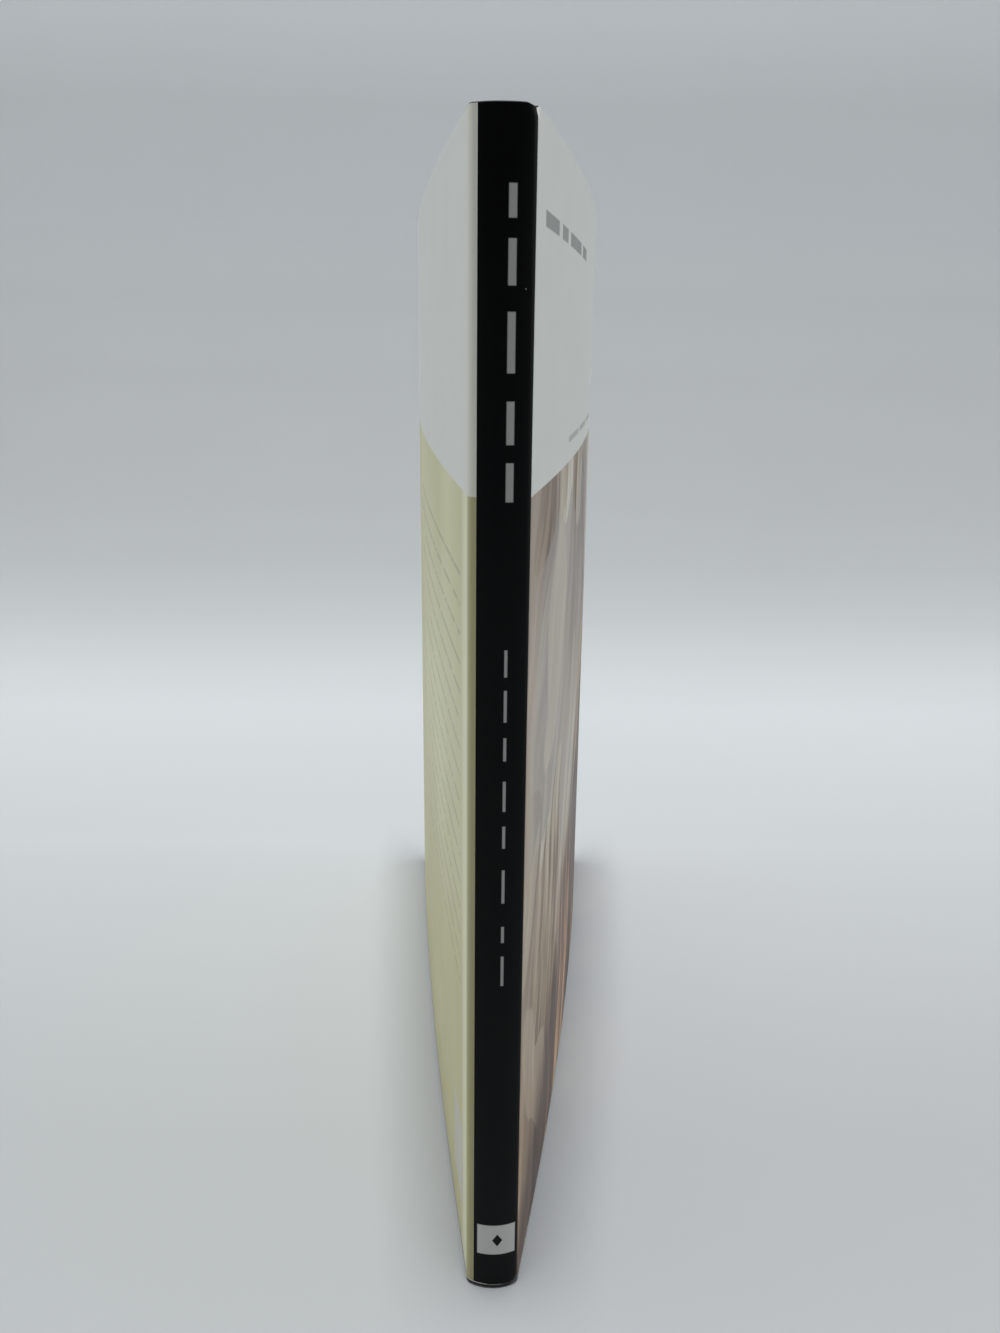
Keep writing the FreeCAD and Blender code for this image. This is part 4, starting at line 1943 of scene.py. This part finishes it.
@dataclass
class Endpapers:
    """The folded sheets that hold the pages in the case: a flyleaf, a joint and a pastedown.

    Attributes:
        fold_r: Outside radius of the fold.
        joint_end: Distance from the crest of the spine at which the joint leaves the flyleaf.
        mull: Width of the mull under the pastedown.
        margin: Edge of the case to the edge of the pastedown.
        step: Width of the step that a layer underneath makes.
        clear: Distance beyond the flyleaf past which a face belongs to the pastedown.
        bend: Distances from the middle of the spine for a bend of the joint; the points made from
            them are not used.
    """

    spine: SpinePlan
    covers: dict[Side, CoverPlan]
    fold_r: float = 0.165 * MM
    joint_end: float = 6.9 * MM
    mull: float = 25.0 * MM
    margin: float = 3.0 * MM
    step: float = 0.3 * MM
    clear: float = 0.6 * MM
    bend: tuple[float, float] = (2.70 * MM, 3.50 * MM)

    def build(self, side: Side) -> None:
        """Sweeps one folded sheet, its glued face outside, and sinks it between the turn-ins.

        Args:
            side: The cover.
        """
        cover, plan, step, sign = self.covers[side], self.spine, self.step, side.value
        corner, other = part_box(f"{side.word}_flyleaf")
        half = min(abs(corner.x - plan.middle_x), abs(other.x - plan.middle_x))
        case_low, case_high = ends("case_spine")
        low, high = case_low + LAYERS.turn_in, case_high - LAYERS.turn_in
        lined = cover.joint + self.mull
        inner = cover.reach - LAYERS.jacket - LAYERS.case_paper - LAYERS.turn_in
        far = cover.reach - LAYERS.jacket - self.margin
        glued = {
            along: cover.point(LAYERS.under_turn_in, along)
            for along in (cover.joint, lined, lined + step, inner - step, inner, far)
        }
        counts = (6, 1, 22, 1, 3)
        leaf_x = plan.middle_x + sign * half
        strip_x = leaf_x + sign * 2 * self.fold_r
        fold_y = corner.y + self.fold_r
        leaf, fold = Vector((leaf_x, other.y, 0)), Vector((leaf_x, fold_y, 0))
        fold_centre = Vector((leaf_x + sign * self.fold_r, fold_y, 0))
        strip = Vector((strip_x, plan.crest_y + self.joint_end, 0))
        start, *board = glued.values()
        along = (cover.point(LAYERS.under_turn_in, cover.joint + 1 * MM) - start).normalized()
        back = Vector((0, 1, 0))
        name = f"{side.word}_endpaper"
        column = rows(*ends("text_block"), count=12, extra=margins(low, high, (0, step)))
        if side is Side.FRONT:
            sheet = UprightSheet(name, board[-1], column)
            for place, count in zip([*board[-2::-1], start], reversed(counts)):
                sheet.turn_to(cover.centre, place, count)
            sheet.ease_to(strip, -along, -back, steps=18)
            sheet.run_to(Vector((strip_x, fold_y, 0)), steps=4)
            sheet.turn(fold_centre, math.pi, steps=6)
            sheet.run_to(leaf, steps=18)
        else:
            sheet = UprightSheet(name, leaf, column)
            sheet.run_to(fold, steps=18)
            sheet.turn(fold_centre, math.pi, steps=6)
            sheet.run_to(strip, steps=4)
            sheet.ease_to(start, back, along, steps=18)
            for place, count in zip(board, counts):
                sheet.turn_to(cover.centre, place, count)
        y_low, y_high = glued[lined + step].y, glued[inner - step].y
        sheet.pick(
            Part.FACE,
            lambda c, n: abs(c.x - plan.middle_x) > half + self.clear
            and y_low < c.y < y_high
            and low + step < c.z < high - step,
        )
        sunk = cover.facing * (LAYERS.under_turn_in - LAYERS.under_board)
        bpy.ops.transform.translate(value=sunk)
        sheet.map_from(0.0, sense=1)
        piece = sheet.make_up(LAYERS.endpaper, ENDPAPER)
        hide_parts(f"{side.word}_flyleaf", f"{side.word}_pastedown")
        begin, end = (Vector((plan.middle_x + sign * x, plan.crest_y, 0)) for x in self.bend)
        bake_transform(piece)
        report(piece)


# ---- Stage -------------------------------------------------------


@dataclass(frozen=True)
class SweepPaper(Finish):
    """Pale paper of the floor and the backdrop, with painted light: its tone runs with the distance
    along it.

    Attributes:
        tint: Colour of the paper.
        tones: Pairs of a distance from the origin, along +Y and up, and the tone of painted light
            there.
    """

    name: str = "studio_sweep"
    tint: Colour = (0.955, 1.0, 1.030)
    tones: tuple = (
        (-0.20, 0.457), (-0.10, 0.447), (-0.057, 0.442), (-0.018, 0.461), (0.0, 0.472),
        (0.035, 0.495), (0.10, 0.524), (0.112, 0.539), (0.126, 0.535), (0.191, 0.560),
        (0.23, 0.576), (0.276, 0.589), (0.331, 0.567), (0.395, 0.533), (0.474, 0.488),
        (0.556, 0.460), (0.62, 0.443), (0.74, 0.449), (0.82, 0.475), (0.924, 0.532),
        (1.024, 0.648), (1.10, 0.835), (1.20, 0.800), (1.27, 0.880), (1.40, 0.885),
    )

    def paint(self, g: Paint) -> None:
        """Paints the light along the paper as a ramp of tone, a little cloudy.

        Args:
            g: Graph of the material.
        """
        _, y, z = g.parts(g.place())
        low, high = self.tones[0][0], self.tones[-1][0]
        stops = [((r - low) / (high - low), dimmed(self.tint, tone)) for r, tone in self.tones]
        # Painted light: the tone brightens and dims along the floor and up the backdrop, standing
        # in for the lamp's pool of light.
        tone = g.ramp((y + z - low) / (high - low), stops)
        cloud = g.noise(g.place(), 6.0, detail=3.0)
        shade = g.mix(cloud, tone, grey(0.97), blend="MULTIPLY")
        g.coat(shade, g.span(cloud, *BROAD, to_low=0.8, to_high=0.9), specular=0.2)


@dataclass
class Studio:
    """Floor, backdrop, lamp, surrounding light and camera.

    Attributes:
        floor_front: Y of the front edge of the floor.
        floor_back: Y at which the floor starts to curve up.
        half_width: Half of the width of the floor and the backdrop.
        curve: Radius of the curve.
        wall: Height of the straight wall above the curve.
        lamp_place: Where the lamp hangs.
        lamp_aim: What it faces.
        lamp_size: Length of its sides.
        lamp_power: Its power in watts.
        front_light: Level of the room's light from -Y.
        side_light: Level from the sides.
        rear_light: Level from +Y.
        top_light: Level from above.
        room_tint: Colour of the room's light.
        camera_place: Where the camera stands.
        camera_dip: How far it looks down, in degrees.
        camera_roll: How far it is rolled, in degrees.
        lens: Its focal length in millimetres.
        film: Width of its picture in millimetres.
    """

    floor_front: float = -1.4
    floor_back: float = 0.50
    half_width: float = 1.5
    curve: float = 0.30
    wall: float = 1.2
    lamp_place: tuple = (0.0, -0.12, 4.0)
    lamp_aim: tuple = (0.0, -0.03, 0.0)
    lamp_size: float = 0.6
    lamp_power: float = 147.0
    front_light: float = 0.03
    side_light: float = 1.67
    rear_light: float = 1.2
    top_light: float = 0.14
    room_tint: Colour = (0.985, 1.0, 1.005)
    camera_place: tuple = (-0.54 * MM, -277.9 * MM, 195.1 * MM)
    camera_dip: float = 17.06
    camera_roll: float = 0.61
    lens: float = 28.69
    film: float = 36.0

    def build_sweep(self) -> None:
        """Lays the floor and curves it up into the backdrop."""
        deselect()
        middle = (0, (self.floor_back + self.floor_front) / 2, 0)
        bpy.ops.mesh.primitive_plane_add(size=1.0, location=middle)
        length = self.floor_back - self.floor_front
        bpy.context.object.scale = (2 * self.half_width, length, 1)
        sweep = Workpiece("studio_sweep")
        sweep.edit()
        sweep.pick(Part.EDGE, lambda a, b: min(a.y, b.y) > self.floor_back - LEVEL)
        pivot = (0, self.floor_back, self.curve)
        bpy.ops.mesh.spin(steps=24, angle=-math.pi / 2, center=pivot, axis=(1, 0, 0))
        extrude((0, 0, self.wall))
        bpy.ops.mesh.select_all(action="SELECT")
        bpy.ops.mesh.normals_make_consistent(inside=False)
        sweep.smooth(sharp=30)
        sweep.dress(SweepPaper())

    def hang_lamp(self) -> None:
        """Hangs the soft square lamp."""
        lamp = bpy.data.lights.new("overhead", "AREA")
        lamp.shape, lamp.size, lamp.energy = "SQUARE", self.lamp_size, self.lamp_power
        way = Vector(self.lamp_aim) - Vector(self.lamp_place)
        self.place("overhead", lamp, self.lamp_place, way.to_track_quat("-Z", "Y").to_matrix())

    def place(
        self, name: str, data: bpy.types.ID, place: Sequence[float], turn: Matrix
    ) -> bpy.types.Object:
        """Puts a lamp or a camera in the room.

        Args:
            name: Its name.
            data: Its data.
            place: Where it is.
            turn: How it is turned.

        Returns:
            The object.
        """
        obj = bpy.data.objects.new(name, data)
        bpy.context.scene.collection.objects.link(obj)
        obj.location, obj.rotation_euler = place, turn.to_euler()
        return obj

    def surround(self) -> None:
        """Fills the room with soft light that is dimmer from the front."""
        world = bpy.data.worlds.new("studio_room")
        bpy.context.scene.world = world
        world.use_nodes = True
        world.node_tree.nodes.clear()
        g = Graph(world.node_tree)
        _, y, z = g.parts(g.read("TexCoord", output="Generated"))
        levels = (self.front_light, self.side_light, self.rear_light, self.top_light)
        front, side, rear, top = map(grey, levels)
        around = [(0.0, front), (0.2, front), (0.5, side), (1.0, rear)]
        level = g.mix(g.span(z, 0.15, 0.95), g.ramp(g.span(y, -1.0, 1.0), around), top)
        tinted = g.mix(1.0, level, self.room_tint, blend="MULTIPLY")
        g.add("OutputWorld", {"Surface": g.read("Background", {"Color": tinted})})

    def set_camera(self) -> None:
        """Sets up the camera in front of the spine, a little above the middle of the book."""
        camera = bpy.data.cameras.new("camera")
        camera.sensor_width, camera.lens = self.film, self.lens
        camera.clip_start, camera.clip_end = 0.01, 20.0
        rise = Matrix.Rotation(math.radians(90 - self.camera_dip), 3, "X")
        roll = Matrix.Rotation(math.radians(self.camera_roll), 3, "Z")
        bpy.context.scene.camera = self.place("camera", camera, self.camera_place, rise @ roll)


def main() -> None:
    """Builds the book, its stage, lights and camera."""
    logging.basicConfig(level=logging.INFO, format="%(name)s: %(message)s")
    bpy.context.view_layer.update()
    bpy.context.scene.view_settings.view_transform = "Standard"
    spine = SpinePlan()
    bows = {Side.FRONT: 3.0 * MM, Side.BACK: 2.0 * MM}
    covers = {side: CoverPlan(side, bow) for side, bow in bows.items()}

    studio = Studio()
    studio.set_camera()
    studio.build_sweep()
    studio.hang_lamp()
    studio.surround()

    jacket = DustJacket(spine, covers)
    jacket.build_spine()
    jacket.build_front()
    jacket.build_back()

    case = Case(spine, covers)
    case.build_spine()
    for side in Side:
        case.build_board_wrap(side)
    case.dress_boards()

    block = BookBlock(spine)
    block.build_pages()
    block.build_band("headband", End.HEAD)
    block.build_band("tailband", End.TAIL)
    block.dress_linings()

    endpapers = Endpapers(spine, covers)
    for side in Side:
        endpapers.build(side)

    deselect()


if __name__ == "__main__":
    main()
